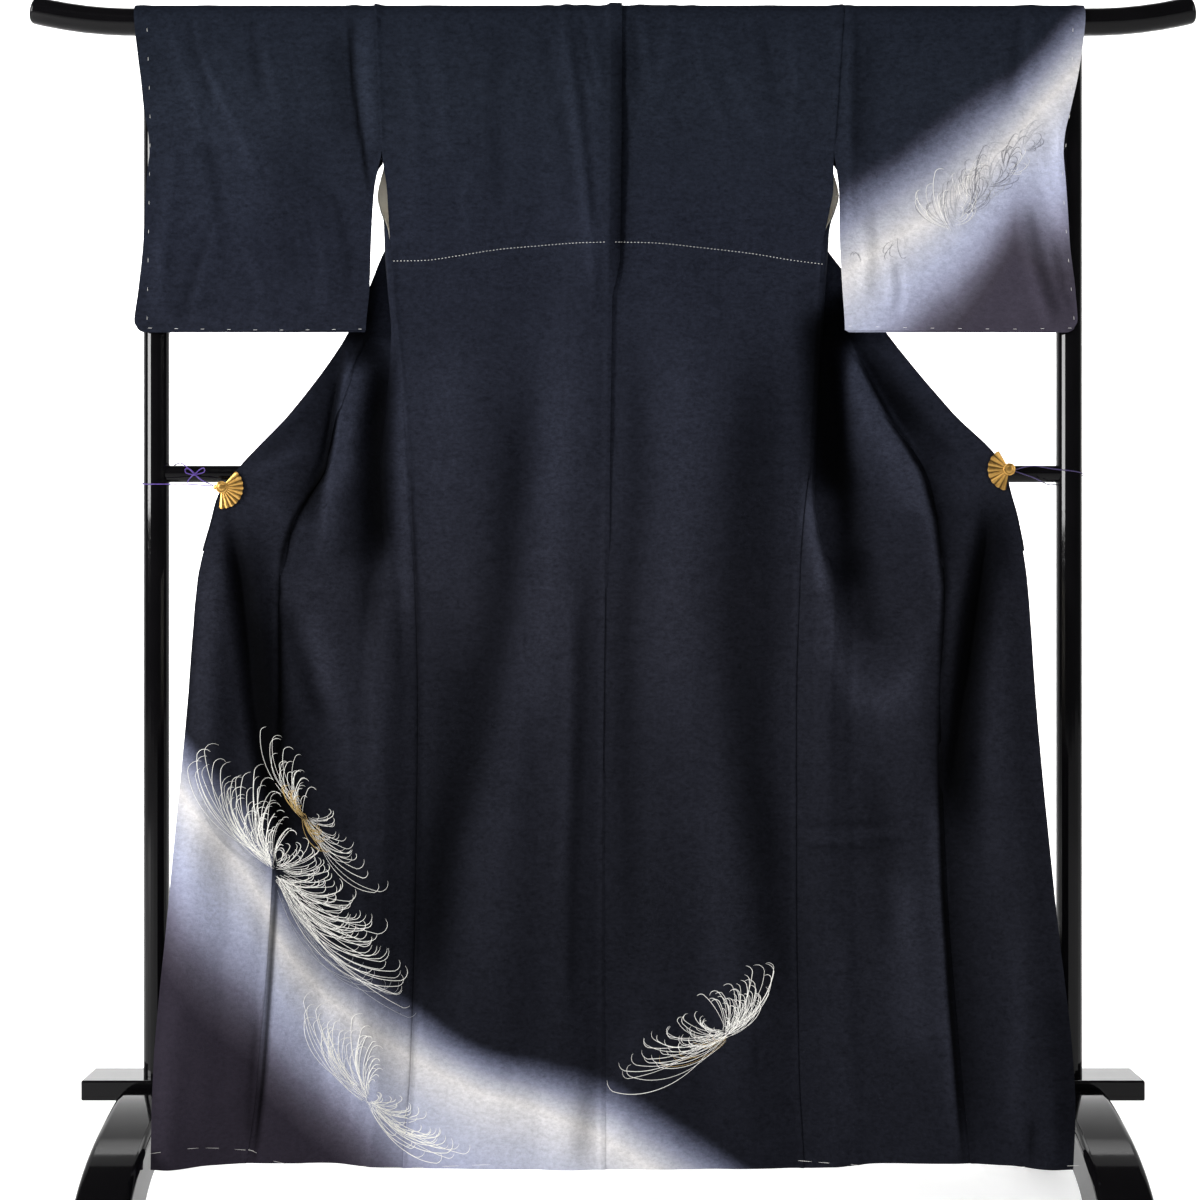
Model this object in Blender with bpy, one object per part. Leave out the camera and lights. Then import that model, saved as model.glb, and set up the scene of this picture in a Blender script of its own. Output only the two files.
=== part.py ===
"""A lined tsukesage kimono that hangs over the top rail of a lacquered kimono stand, back to the viewer.

The sleeves hang over the rail, and the fronts fall on its far side, are folded outwards like lapels
and are held open by two fan clips tied to the posts. Metres, +Z up, +X to the viewer's right, +Y away
from the viewer. The origin is on the floor below the middle of the top rail.
"""

import math

import bmesh
import bpy
from mathutils import Vector

# Stand
RAIL_Z = 1.656
RAIL_RADIUS = 0.019
RAIL_HALF = 0.812
RAIL_BEND_START = 0.665
RAIL_BEND_RISE = 0.0175
POST_X = 0.6387
POST_RADIUS = 0.018
MID_RAIL_Z = 1.0234
MID_RAIL_RADIUS = 0.012
PLANK_HALF = 0.735
PLANK_DEPTH = 0.080
PLANK_BOTTOM = 0.155
PLANK_TOP = 0.183
PLANK_EDGE = 0.002
FOOT_X = 0.642
FOOT_WIDTH = 0.072
FIT = 0.0003

# Cloth
CLOTH = 0.0012
LINING = 0.0010
COLLAR = 0.0016
COLLAR_WIDTH = 0.055
SEAM = 0.0003
DRAPE_RADIUS = 0.0220
RIDGE = RAIL_Z + DRAPE_RADIUS * math.pi / 2 - 0.0004
WRAP = [RAIL_Z + DRAPE_RADIUS * math.pi / 3, RAIL_Z + DRAPE_RADIUS * math.pi / 6]
COLLAR_END = 0.915
KENSAKI = 1.414
COLLAR_LIFT = 0.0046

# Heights of the rings that the panels are drawn through, down from the ridge. The fronts have more
# where their edge turns over at the neck and where their side turns in below the sleeve.
BELOW = [0.870, 0.760, 0.630, 0.490, 0.340, 0.200, 0.0]
CLIPPED = [1.344, 1.280, 1.221, 1.165, 1.110, 1.065, 1.030, 0.990, 0.960]
BACK_ROWS = [RIDGE, *WRAP, RAIL_Z, 1.600, 1.530, 1.470, KENSAKI, *CLIPPED, COLLAR_END, *BELOW]
OKUMI_ROWS = [KENSAKI, 1.396, 1.379, 1.362, *CLIPPED, 0.938, COLLAR_END, 0.892, *BELOW]
FRONT_ROWS = [RIDGE, *WRAP, RAIL_Z, 1.645, 1.632, 1.618, 1.600, 1.530, 1.470, *OKUMI_ROWS]

# Height of each seam and edge at the hem.
HEM = {"centre": 0.066, "side": 0.069, "okumi": 0.100, "edge": 0.108}

# Depths, shared by both sides. s is the front's side edge, t the turn beside the side seam, f the
# inner fold, k the okumi seam and e the collar seam or front edge.
DEPTHS = [
    ("height", "centre", "side", "s", "t1", "t", "t2", "f1", "f", "f2", "k", "e"),
    (RIDGE, -0.0220, -0.0220, 0.0220, 0.0220, 0.0220, 0.0220, 0.0220, 0.0220, 0.0220, 0.0220, 0.0220),
    (RAIL_Z, -0.0220, -0.0220, 0.0220, 0.0220, 0.0220, 0.0220, 0.0220, 0.0220, 0.0220, 0.0220, 0.0220),
    (1.645, -0.0221, -0.0221, 0.0220, 0.0220, 0.0220, 0.0220, 0.0220, 0.0225, 0.0250, 0.0278, 0.0278),
    (1.632, -0.0222, -0.0222, 0.0220, 0.0220, 0.0220, 0.0220, 0.0220, 0.0232, 0.0265, 0.0305, 0.0305),
    (1.618, -0.0224, -0.0223, 0.0220, 0.0220, 0.0220, 0.0220, 0.0220, 0.0240, 0.0272, 0.0302, 0.0302),
    (1.600, -0.0228, -0.0225, 0.0220, 0.0220, 0.0220, 0.0220, 0.0220, 0.0250, 0.0280, 0.0280, 0.0280),
    (1.530, -0.0250, -0.0232, 0.0215, 0.0215, 0.0215, 0.0215, 0.0215, 0.0245, 0.0273, 0.0273, 0.0273),
    (1.470, -0.0268, -0.0235, 0.0185, 0.0188, 0.0190, 0.0192, 0.0196, 0.0226, 0.0257, 0.0257, 0.0257),
    (KENSAKI, -0.0285, -0.0238, 0.0120, 0.0140, 0.0145, 0.0150, 0.0170, 0.0202, 0.0235, 0.0235, 0.0235),
    (1.396, -0.0292, -0.0241, 0.0015, 0.0075, 0.0112, 0.0128, 0.0145, 0.0178, 0.0210, 0.0212, 0.0212),
    (1.379, -0.0298, -0.0243, -0.0100, -0.0020, 0.0065, 0.0112, 0.0120, 0.0152, 0.0185, 0.0188, 0.0190),
    (1.362, -0.0304, -0.0244, -0.0190, -0.0140, -0.0010, 0.0080, 0.0090, 0.0122, 0.0158, 0.0164, 0.0170),
    (1.344, -0.0310, -0.0245, -0.0245, -0.0225, -0.0080, 0.0050, 0.0060, 0.0095, 0.0130, 0.0140, 0.0150),
    (1.280, -0.0330, -0.0280, -0.0280, -0.0262, -0.0140, -0.0018, -0.0010, 0.0025, 0.0060, 0.0070, 0.0080),
    (1.221, -0.0350, -0.0320, -0.0320, -0.0303, -0.0200, -0.0086, -0.0080, -0.0045, -0.0010, 0.0, 0.0010),
    (1.110, -0.0390, -0.0370, -0.0370, -0.0356, -0.0275, -0.0193, -0.0190, -0.0157, -0.0125, -0.0130,
     -0.0170),
    (1.065, -0.0405, -0.0390, -0.0390, -0.0380, -0.0305, -0.0232, -0.0230, -0.0200, -0.0170, -0.0190,
     -0.0225),
    (1.030, -0.0415, -0.0405, -0.0405, -0.0402, -0.0335, -0.0267, -0.0265, -0.0233, -0.0200, -0.0212,
     -0.0240),
    (0.990, -0.0430, -0.0415, -0.0415, -0.0425, -0.0360, -0.0295, -0.0290, -0.0260, -0.0230, -0.0240,
     -0.0245),
    (0.960, -0.0435, -0.0420, -0.0420, -0.0445, -0.0385, -0.0325, -0.0315, -0.0287, -0.0260, -0.0280,
     -0.0265),
    (COLLAR_END, -0.0450, -0.0430, -0.0430, -0.0478, -0.0465, -0.0430, -0.0325, -0.0295, -0.0280, -0.0345,
     -0.0350),
    (0.870, -0.0460, -0.0440, -0.0440, -0.0480, -0.0510, -0.0500, -0.0430, -0.0385, -0.0390, -0.0440,
     -0.0460),
    (0.700, -0.0500, -0.0490, -0.0490, -0.0560, -0.0620, -0.0650, -0.0590, -0.0550, -0.0560, -0.0750,
     -0.0880),
    (0.450, -0.0550, -0.0560, -0.0560, -0.0640, -0.0720, -0.0780, -0.0750, -0.0710, -0.0730, -0.1120,
     -0.1480),
    (0.200, -0.0585, -0.0610, -0.0610, -0.0700, -0.0790, -0.0870, -0.0860, -0.0830, -0.0870, -0.1430,
     -0.2000),
    (0.060, -0.0600, -0.0630, -0.0630, -0.0720, -0.0820, -0.0910, -0.0910, -0.0880, -0.0920, -0.1540,
     -0.2150),
]

# How far out the points before and after the turn t and the fold f lie from them.
BENDS = [
    ("height", "t1", "t2", "f1", "f2"),
    (RIDGE, 0.0100, -0.0100, 0.0050, -0.0050),
    (RAIL_Z, 0.0100, -0.0100, 0.0050, -0.0050),
    (1.645, 0.0100, -0.0100, 0.0060, -0.0035),
    (1.632, 0.0100, -0.0100, 0.0060, -0.0010),
    (1.618, 0.0100, -0.0100, 0.0050, 0.0010),
    (1.600, 0.0100, -0.0100, 0.0040, 0.0040),
    (KENSAKI, 0.0100, -0.0100, 0.0040, 0.0040),
    (1.396, 0.0075, -0.0080, 0.0040, 0.0040),
    (1.379, 0.0020, -0.0080, 0.0040, 0.0040),
    (1.362, -0.0010, -0.0055, 0.0040, 0.0040),
    (1.344, -0.0040, -0.0040, 0.0040, 0.0040),
    (0.960, -0.0040, -0.0040, 0.0040, 0.0040),
    (COLLAR_END, -0.0080, 0.0040, -0.0040, 0.0080),
    (0.870, -0.0120, 0.0120, -0.0120, 0.0120),
    (0.060, -0.0120, 0.0120, -0.0120, 0.0120),
]

# Distance out from the middle, for the photo's left side.
LEFT = [
    ("height", "side", "s", "t", "f", "k", "e"),
    (RIDGE, 0.3320, 0.3320, 0.3050, 0.0940, 0.0820, 0.0820),
    (RAIL_Z, 0.3302, 0.3302, 0.3050, 0.1120, 0.1000, 0.1000),
    (1.645, 0.3296, 0.3296, 0.3050, 0.1125, 0.1062, 0.1062),
    (1.632, 0.3290, 0.3290, 0.3050, 0.1130, 0.1120, 0.1120),
    (1.618, 0.3284, 0.3284, 0.3050, 0.1135, 0.1175, 0.1175),
    (1.600, 0.3275, 0.3275, 0.3050, 0.1120, 0.1310, 0.1310),
    (1.530, 0.3240, 0.3240, 0.3040, 0.1370, 0.1800, 0.1800),
    (1.470, 0.3211, 0.3211, 0.3030, 0.1520, 0.2230, 0.2230),
    (KENSAKI, 0.3137, 0.3310, 0.3050, 0.1650, 0.2585, 0.2630),
    (1.396, 0.3128, 0.3265, 0.3140, 0.1700, 0.2690, 0.2770),
    (1.379, 0.3118, 0.3200, 0.3185, 0.1755, 0.2790, 0.2900),
    (1.362, 0.3109, 0.3135, 0.3190, 0.1805, 0.2885, 0.3035),
    (1.344, 0.3100, 0.3100, 0.3185, 0.1860, 0.2970, 0.3160),
    (1.280, 0.3050, 0.3050, 0.3135, 0.1950, 0.3190, 0.3420),
    (1.221, 0.2990, 0.2990, 0.3080, 0.2070, 0.3430, 0.3680),
    (1.110, 0.2875, 0.2875, 0.3145, 0.2430, 0.3830, 0.4440),
    (1.030, 0.2812, 0.2812, 0.3224, 0.2630, 0.3980, 0.5175),
    (0.990, 0.2790, 0.2790, 0.3210, 0.2750, 0.4240, 0.5470),
    (0.960, 0.2775, 0.2775, 0.3198, 0.2860, 0.4420, 0.5550),
    (0.870, 0.2722, 0.2722, 0.3040, 0.3350, 0.4610, 0.5730),
    (0.700, 0.2680, 0.2680, 0.3000, 0.3450, 0.4560, 0.5785),
    (0.450, 0.2705, 0.2705, 0.3030, 0.3500, 0.4600, 0.5905),
    (0.200, 0.2773, 0.2773, 0.3090, 0.3580, 0.4750, 0.6015),
    (0.060, 0.2880, 0.2880, 0.3190, 0.3680, 0.4890, 0.6005),
]

# The same for the photo's right side.
RIGHT = [
    ("height", "side", "s", "t", "f", "k", "e"),
    (RIDGE, 0.3211, 0.3211, 0.2950, 0.0940, 0.0820, 0.0820),
    (RAIL_Z, 0.3189, 0.3189, 0.2950, 0.1120, 0.1000, 0.1000),
    (1.645, 0.3182, 0.3182, 0.2945, 0.1125, 0.1062, 0.1062),
    (1.632, 0.3174, 0.3174, 0.2940, 0.1130, 0.1120, 0.1120),
    (1.618, 0.3165, 0.3165, 0.2935, 0.1135, 0.1175, 0.1175),
    (1.600, 0.3152, 0.3152, 0.2930, 0.1120, 0.1280, 0.1280),
    (1.530, 0.3106, 0.3106, 0.2900, 0.1360, 0.1727, 0.1727),
    (1.500, 0.3086, 0.3086, 0.2890, 0.1440, 0.1920, 0.1920),
    (1.470, 0.3066, 0.3066, 0.2880, 0.1520, 0.2110, 0.2110),
    (KENSAKI, 0.3060, 0.3180, 0.2920, 0.1600, 0.2420, 0.2465),
    (1.396, 0.3025, 0.3125, 0.3000, 0.1605, 0.2510, 0.2590),
    (1.379, 0.2990, 0.3055, 0.3035, 0.1610, 0.2600, 0.2715),
    (1.362, 0.2955, 0.2965, 0.3015, 0.1620, 0.2685, 0.2835),
    (1.344, 0.2921, 0.2921, 0.3005, 0.1640, 0.2759, 0.2956),
    (1.280, 0.2870, 0.2870, 0.2955, 0.1730, 0.3032, 0.3425),
    (1.221, 0.2830, 0.2830, 0.2915, 0.1900, 0.3250, 0.3810),
    (1.110, 0.2770, 0.2770, 0.2855, 0.2150, 0.3750, 0.4680),
    (1.030, 0.2712, 0.2712, 0.2800, 0.2370, 0.4317, 0.5410),
    (0.990, 0.2665, 0.2665, 0.2785, 0.2470, 0.4440, 0.5520),
    (0.960, 0.2630, 0.2630, 0.2810, 0.2560, 0.4510, 0.5600),
    (0.870, 0.2565, 0.2565, 0.2920, 0.3240, 0.4569, 0.5710),
    (0.700, 0.2520, 0.2520, 0.2840, 0.3280, 0.4455, 0.5750),
    (0.450, 0.2515, 0.2515, 0.2840, 0.3300, 0.4500, 0.5865),
    (0.200, 0.2547, 0.2547, 0.2870, 0.3380, 0.4650, 0.6010),
    (0.060, 0.2615, 0.2615, 0.2940, 0.3450, 0.4744, 0.5939),
]

# How far the centre back seam lies from the middle plane.
CENTRE_SEAM = [("height", "x"), (RIDGE, -0.001), (1.300, -0.004), (0.880, -0.010), (0.500, -0.014),
               (0.060, -0.015)]

# The largest soft folds. across is where the fold runs on its panel, from 0 at the side nearer the
# middle to 1, at its top and its bottom; depth is how far it stands out towards the viewer.
FOLDS = [
    ("panel", "across", "across_low", "half_width", "depth", "top", "bottom"),
    ("back_left", 0.10, 0.13, 0.22, 0.0060, 1.66, 0.90),
    ("back_left", 0.62, 0.50, 0.30, 0.0070, 1.45, -0.10),
    ("back_left", 0.20, 0.16, 0.20, 0.0080, 0.95, -0.15),
    ("back_right", 0.30, 0.34, 0.26, 0.0070, 1.50, -0.10),
    ("back_right", 0.78, 0.72, 0.24, 0.0060, 1.20, -0.12),
    ("front_left", 0.86, 0.80, 0.14, 0.0080, 0.88, -0.15),
    ("front_right", 0.84, 0.82, 0.15, 0.0090, 0.88, -0.15),
    ("okumi_left", 0.70, 0.78, 0.34, 0.0120, 0.98, -0.20),
    ("okumi_right", 0.66, 0.76, 0.34, 0.0120, 0.98, -0.20),
]

# The collar round the neck, beyond the ridge: its seam and, 5.5 cm below it, its free edge.
NECK = [
    ("x", "height", "depth", "inner_x", "inner_height"),
    (0.0000, RIDGE - 0.004, 0.0250, 0.0000, 1.6305),
    (0.0300, RIDGE - 0.004, 0.0250, 0.0220, 1.6300),
    (0.0550, RIDGE - 0.004, 0.0256, 0.0380, 1.6285),
    (0.0740, RIDGE - 0.007, 0.0268, 0.0460, 1.6265),
    (0.0880, RIDGE - 0.017, 0.0284, 0.0520, 1.6235),
    (0.1000, RAIL_Z, 0.0300, 0.0580, 1.6190),
    (0.1080, 1.645, 0.0316, 0.0630, 1.6120),
    (0.1150, 1.632, 0.0330, 0.0690, 1.6020),
    (0.1225, 1.618, 0.0338, 0.0760, 1.5900),
]

# Sleeves. near and far are the walls on the viewer's side and beyond the rail.
SLEEVE_BOTTOM = 1.2220
SLEEVE_LEFT = [
    ("height", "near_in", "far_in", "near_out", "far_out"),
    (RIDGE, 0.3323, 0.3323, 0.6670, 0.6670),
    (RAIL_Z, 0.3305, 0.3305, 0.6655, 0.6640),
    (1.600, 0.3278, 0.3278, 0.6600, 0.6450),
    (1.570, 0.3263, 0.3263, 0.6560, 0.6220),
    (1.530, 0.3243, 0.3243, 0.6520, 0.6060),
    (1.490, 0.3224, 0.3224, 0.6450, 0.6030),
    (1.470, 0.3214, 0.3214, 0.6437, 0.6050),
    (1.450, 0.3255, 0.3320, 0.6460, 0.6120),
    (1.414, 0.3320, 0.3450, 0.6490, 0.6400),
    (1.344, 0.3360, 0.3460, 0.6523, 0.6510),
    (1.280, 0.3380, 0.3460, 0.6590, 0.6575),
    (SLEEVE_BOTTOM, 0.3430, 0.3470, 0.6660, 0.6640),
]
SLEEVE_RIGHT = [
    ("height", "near_in", "far_in", "near_out", "far_out"),
    (RIDGE, 0.3214, 0.3214, 0.6573, 0.6573),
    (RAIL_Z, 0.3192, 0.3192, 0.6565, 0.6550),
    (1.600, 0.3155, 0.3155, 0.6500, 0.6400),
    (1.570, 0.3136, 0.3136, 0.6450, 0.6220),
    (1.530, 0.3109, 0.3109, 0.6360, 0.6060),
    (1.490, 0.3082, 0.3082, 0.6270, 0.6020),
    (1.470, 0.3069, 0.3069, 0.6255, 0.6030),
    (1.450, 0.3100, 0.3170, 0.6270, 0.6080),
    (1.414, 0.3140, 0.3290, 0.6300, 0.6260),
    (1.344, 0.3150, 0.3320, 0.6345, 0.6330),
    (1.280, 0.3185, 0.3330, 0.6420, 0.6405),
    (SLEEVE_BOTTOM, 0.3220, 0.3340, 0.6460, 0.6440),
]
SLEEVE_DEPTHS = [
    ("height", "near_in", "near_out", "far_in", "far_out"),
    (RIDGE, -0.0220, -0.0220, 0.0220, 0.0220),
    (RAIL_Z, -0.0220, -0.0220, 0.0220, 0.0220),
    (1.600, -0.0225, -0.0225, 0.0220, 0.0220),
    (1.570, -0.0228, -0.0226, 0.0218, 0.0216),
    (1.530, -0.0232, -0.0227, 0.0215, 0.0120),
    (1.490, -0.0235, -0.0228, 0.0200, -0.0060),
    (1.470, -0.0236, -0.0228, 0.0185, -0.0150),
    (1.450, -0.0238, -0.0227, 0.0175, -0.0198),
    (1.414, -0.0242, -0.0228, 0.0130, -0.0207),
    (1.344, -0.0250, -0.0229, 0.0000, -0.0208),
    (1.280, -0.0250, -0.0229, -0.0100, -0.0208),
    (SLEEVE_BOTTOM, -0.0245, -0.0229, -0.0170, -0.0208),
]
SLEEVE_ROWS = [SLEEVE_BOTTOM, 1.280, 1.344, 1.414, 1.470, 1.530, 1.600, RAIL_Z, *reversed(WRAP)]
SLEEVE_FAR_ROWS = [*WRAP, RAIL_Z, 1.600, 1.570, 1.530, 1.490, 1.450, 1.414, 1.344, 1.280,
                   SLEEVE_BOTTOM]
SLEEVE_COLUMNS = 8

# Clips: the hub's place, the middle direction of the fan and its ribs.
CLIPS = {
    "left": {"hub": (-0.5425, 1.0034), "axis": -24.0, "spread": 148.0, "ribs": 10,
             "edge": 0.5400, "slant": -0.74},
    "right": {"hub": (0.5495, 1.0283), "axis": 190.0, "spread": 142.0, "ribs": 8,
              "edge": 0.5416, "slant": -0.42},
}
FAN_RADIUS = 0.0290
FAN_ROOT = 0.0050
FAN_Y = -0.0277
FAN_PLEAT = 0.0009
FAN_PLATE = 0.0010
HUB_RADIUS = 0.0085
KNOB_RADIUS = 0.0034
CORD_RADIUS = 0.0008

# Colour, roughness, metallic
FINISHES = {
    "crepe": ((0.020, 0.022, 0.030, 1.0), 0.75, 0.0),
    "silk_lining": ((0.720, 0.690, 0.620, 1.0), 0.55, 0.0),
    "lacquer": ((0.006, 0.006, 0.007, 1.0), 0.10, 0.0),
    "gold": ((0.800, 0.560, 0.230, 1.0), 0.30, 1.0),
    "cord": ((0.150, 0.080, 0.350, 1.0), 0.60, 0.0),
}


def clear_scene():
    for obj in list(bpy.data.objects):
        bpy.data.objects.remove(obj, do_unlink=True)


def finish(obj, kind):
    """Give the object its own material."""
    colour, roughness, metallic = FINISHES[kind]
    material = bpy.data.materials.new(f"{obj.name}_{kind}")
    material.use_nodes = True
    shader = material.node_tree.nodes["Principled BSDF"]
    shader.inputs["Base Color"].default_value = colour
    shader.inputs["Roughness"].default_value = roughness
    shader.inputs["Metallic"].default_value = metallic
    obj.data.materials.append(material)


def add_mesh(name, points, faces, kind, smooth=True):
    mesh = bpy.data.meshes.new(name)
    mesh.from_pydata([tuple(point) for point in points], [], faces)
    shape = bmesh.new()
    shape.from_mesh(mesh)
    bmesh.ops.recalc_face_normals(shape, faces=shape.faces)
    shape.to_mesh(mesh)
    shape.free()
    if smooth:
        mesh.shade_smooth()
        mesh.set_sharp_from_angle(angle=math.radians(40))
    obj = bpy.data.objects.new(name, mesh)
    bpy.context.scene.collection.objects.link(obj)
    finish(obj, kind)
    return obj


def read(table, column, height):
    """The column's value at this height, along a curve through the table's rows that never overshoots."""
    index = table[0].index(column)
    rows = table[1:]
    heights = [row[0] for row in rows]
    values = [row[index] for row in rows]
    if height >= heights[0]:
        return values[0]
    if height <= heights[-1]:
        return values[-1]
    lower = next(i for i, value in enumerate(heights) if value <= height)
    upper = lower - 1

    def step(i):
        return (values[i + 1] - values[i]) / (heights[i + 1] - heights[i])

    def slope(i):
        if i == 0 or i == len(values) - 1:
            return 0.0
        before = step(i - 1)
        after = step(i)
        return 0.0 if before * after <= 0 else 2 * before * after / (before + after)

    span = heights[lower] - heights[upper]
    t = (height - heights[upper]) / span
    start = (2 * t**3 - 3 * t**2 + 1) * values[upper] + (t**3 - 2 * t**2 + t) * span * slope(upper)
    end = (3 * t**2 - 2 * t**3) * values[lower] + (t**3 - t**2) * span * slope(lower)
    return start + end


def mix(low, high, share):
    return low + (high - low) * share


def place(x, height, depth):
    """A point of cloth that hangs at this depth, and bends over the rail above its middle."""
    if height <= RAIL_Z:
        return Vector((x, depth, height))
    turn = (height - RAIL_Z) / DRAPE_RADIUS
    return Vector((x, depth * math.cos(turn), RAIL_Z + abs(depth) * math.sin(turn)))


def fold_depth(panel, across, height):
    """How far the panel's soft folds stand out towards the viewer here."""
    total = 0.0
    for name, start, end, half_width, depth, top, bottom in FOLDS[1:]:
        if name != panel or not bottom < height < top:
            continue
        along = (top - height) / (top - bottom)
        offset = (across - mix(start, end, along)) / half_width
        if abs(offset) < 1:
            fade = min(1.0, 4.0 * along, 4.0 * (1 - along))
            total += depth * fade * math.cos(offset * math.pi / 2) ** 2
    return total


def hem_drop(start, end, across, height):
    """The height of a row at this share of the way across, where a height of 0 is the hem."""
    return height if height > 0 else mix(HEM[start], HEM[end], across)


def back_point(side, across, height):
    table = LEFT if side < 0 else RIGHT
    name = "back_left" if side < 0 else "back_right"
    z = hem_drop("centre", "side", across, height)
    seam = read(CENTRE_SEAM, "x", z) + side * SEAM / 2
    x = mix(seam, side * (read(table, "side", z) - SEAM / 2), across)
    depth = mix(read(DEPTHS, "centre", z), read(DEPTHS, "side", z), across)
    return place(x, z, depth - fold_depth(name, across, z))


def front_section(side, height):
    """Points of the front's section, from the side edge over turn and fold to the okumi seam."""
    table = LEFT if side < 0 else RIGHT
    name = "front_left" if side < 0 else "front_right"
    across = {"s": 0.0, "t1": 0.08, "t": 0.15, "t2": 0.22, "f1": 0.38, "f": 0.45, "f2": 0.52, "k": 1.0}
    section = []
    for column, share in across.items():
        z = hem_drop("side", "okumi", share, height)
        if column in ("s", "t", "f", "k"):
            x = read(table, column, z)
        else:
            x = read(table, column[0], z) + read(BENDS, column, z)
        if column == "s" and height <= 1.344:
            x += SEAM / 2
        if column == "k":
            x -= SEAM / 2
        section.append((x, read(DEPTHS, column, z), share))
    section.insert(4, tuple((a + b) / 2 for a, b in zip(section[3], section[4])))
    last = section.pop()
    start = section[-1]
    section += [tuple(mix(a, b, share) for a, b in zip(start, last)) for share in (0.25, 0.5, 0.75, 1.0)]
    points = []
    for x, depth, share in section:
        z = hem_drop("side", "okumi", share, height)
        points.append(place(side * x, z, depth - fold_depth(name, share, z)))
    return points


def okumi_point(side, across, height):
    table = LEFT if side < 0 else RIGHT
    name = "okumi_left" if side < 0 else "okumi_right"
    z = hem_drop("okumi", "edge", across, height)
    x = mix(read(table, "k", z) + SEAM / 2, read(table, "e", z), across)
    depth = mix(read(DEPTHS, "k", z), read(DEPTHS, "e", z), across)
    return place(side * x, z, depth - fold_depth(name, across, z))


def lapel_depth(side, x, height):
    """Depth of the folded-out layer at this distance from the middle."""
    table = LEFT if side < 0 else RIGHT
    f, k, e = (read(table, column, height) for column in "fke")
    y_f, y_k, y_e = (read(DEPTHS, column, height) for column in ("f2", "k", "e"))
    if x >= k:
        return mix(y_k, y_e, min(1.0, (x - k) / max(e - k, 0.001)))
    return mix(y_f, y_k, max(0.0, (x - f) / max(k - f, 0.001)))


def direction(before, after):
    """The direction of a line of points at one of them, and how much it bends there."""
    if before is None or after is None:
        return (before or after).normalized(), 1.0
    total = (before.normalized() + after.normalized()).normalized()
    return total, max(0.55, total.dot(after.normalized()))


def offset_grid(grid, distance, side, beyond):
    """The grid moved along its own normals, far enough at a bend to keep the wall's thickness.

    beyond holds the neighbouring panels' points: a row above the grid, and for each row the points
    before its start and after its end, or None where the edge is free.
    """
    moved = []
    last_row = len(grid) - 1
    last_column = len(grid[0]) - 1
    for r, row in enumerate(grid):
        line = []
        start = beyond.get("start", {}).get(r)
        end = beyond.get("end", {}).get(r)
        for c, point in enumerate(row):
            over = grid[r - 1][c] if r > 0 else beyond.get("above", {}).get(c)
            above = point - over if over else None
            below = grid[r + 1][c] - point if r < last_row else None
            left = row[c - 1] if c > 0 else start
            right = row[c + 1] if c < last_column else end
            before = point - left if left else None
            after = right - point if right else None
            down, down_bend = direction(above, below)
            across, across_bend = direction(before, after)
            normal = down.cross(across).normalized() * side
            line.append(point + normal * distance / (down_bend * across_bend))
        moved.append(line)
    return moved


def wall(name, grid, near, far, side, kind, beyond):
    """A closed wall of cloth between two offsets of the grid."""
    outer = offset_grid(grid, near, side, beyond)
    inner = offset_grid(grid, far, side, beyond)
    rows = len(grid)
    columns = len(grid[0])
    points = [point for row in outer for point in row] + [point for row in inner for point in row]
    shift = rows * columns
    faces = []
    for r in range(rows - 1):
        for c in range(columns - 1):
            a = r * columns + c
            b = a + columns
            faces.append((a, b, b + 1, a + 1))
            faces.append((a + shift, a + 1 + shift, b + 1 + shift, b + shift))
    for r in range(rows - 1):
        a = r * columns
        b = a + columns
        faces.append((a, a + shift, b + shift, b))
        a += columns - 1
        b += columns - 1
        faces.append((a, b, b + shift, a + shift))
    for c in range(columns - 1):
        a = c
        faces.append((a, a + 1, a + 1 + shift, a + shift))
        b = (rows - 1) * columns + c
        faces.append((b, b + shift, b + 1 + shift, b + 1))
    return add_mesh(name, points, faces, kind)


def side_name(side):
    return "left" if side < 0 else "right"


def cloth_and_lining(name, grid, side, beyond):
    wall(name, grid, CLOTH / 2, -CLOTH / 2, side, "crepe", beyond)
    start = CLOTH / 2 + SEAM
    wall(f"lining_{name}", grid, -start, -start - LINING, side, "silk_lining", beyond)


def over_ridge(grid):
    """The first row below the ridge, on the other side of it."""
    return {c: Vector((point.x, -point.y, point.z)) for c, point in enumerate(grid[1])}


def seam_points(heights, point_at, top):
    """The neighbouring panel's points along the seam, for the rows at or below its top."""
    return {r: point_at(height) for r, height in enumerate(heights) if height <= top}


def make_back(side):
    columns = 5
    grid = [[back_point(side, c / columns, h) for c in range(columns + 1)] for h in BACK_ROWS]
    beyond = {
        "above": over_ridge(grid),
        "start": seam_points(BACK_ROWS, lambda h: back_point(-side, 1 / columns, h), RIDGE),
        "end": seam_points(BACK_ROWS, lambda h: front_section(side, h)[1], 1.344),
    }
    cloth_and_lining(f"back_{side_name(side)}", grid, side, beyond)


def make_front(side):
    grid = [front_section(side, height) for height in FRONT_ROWS]
    beyond = {
        "above": over_ridge(grid),
        "start": seam_points(FRONT_ROWS, lambda h: back_point(side, 0.8, h), 1.344),
        "end": seam_points(FRONT_ROWS, lambda h: okumi_point(side, 1 / 3, h), KENSAKI),
    }
    cloth_and_lining(f"front_{side_name(side)}", grid, side, beyond)


def make_okumi(side):
    columns = 3
    grid = [[okumi_point(side, c / columns, h) for c in range(columns + 1)] for h in OKUMI_ROWS]
    beyond = {"start": seam_points(OKUMI_ROWS, lambda h: front_section(side, h)[-2], KENSAKI)}
    cloth_and_lining(f"okumi_{side_name(side)}", grid, side, beyond)


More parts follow.
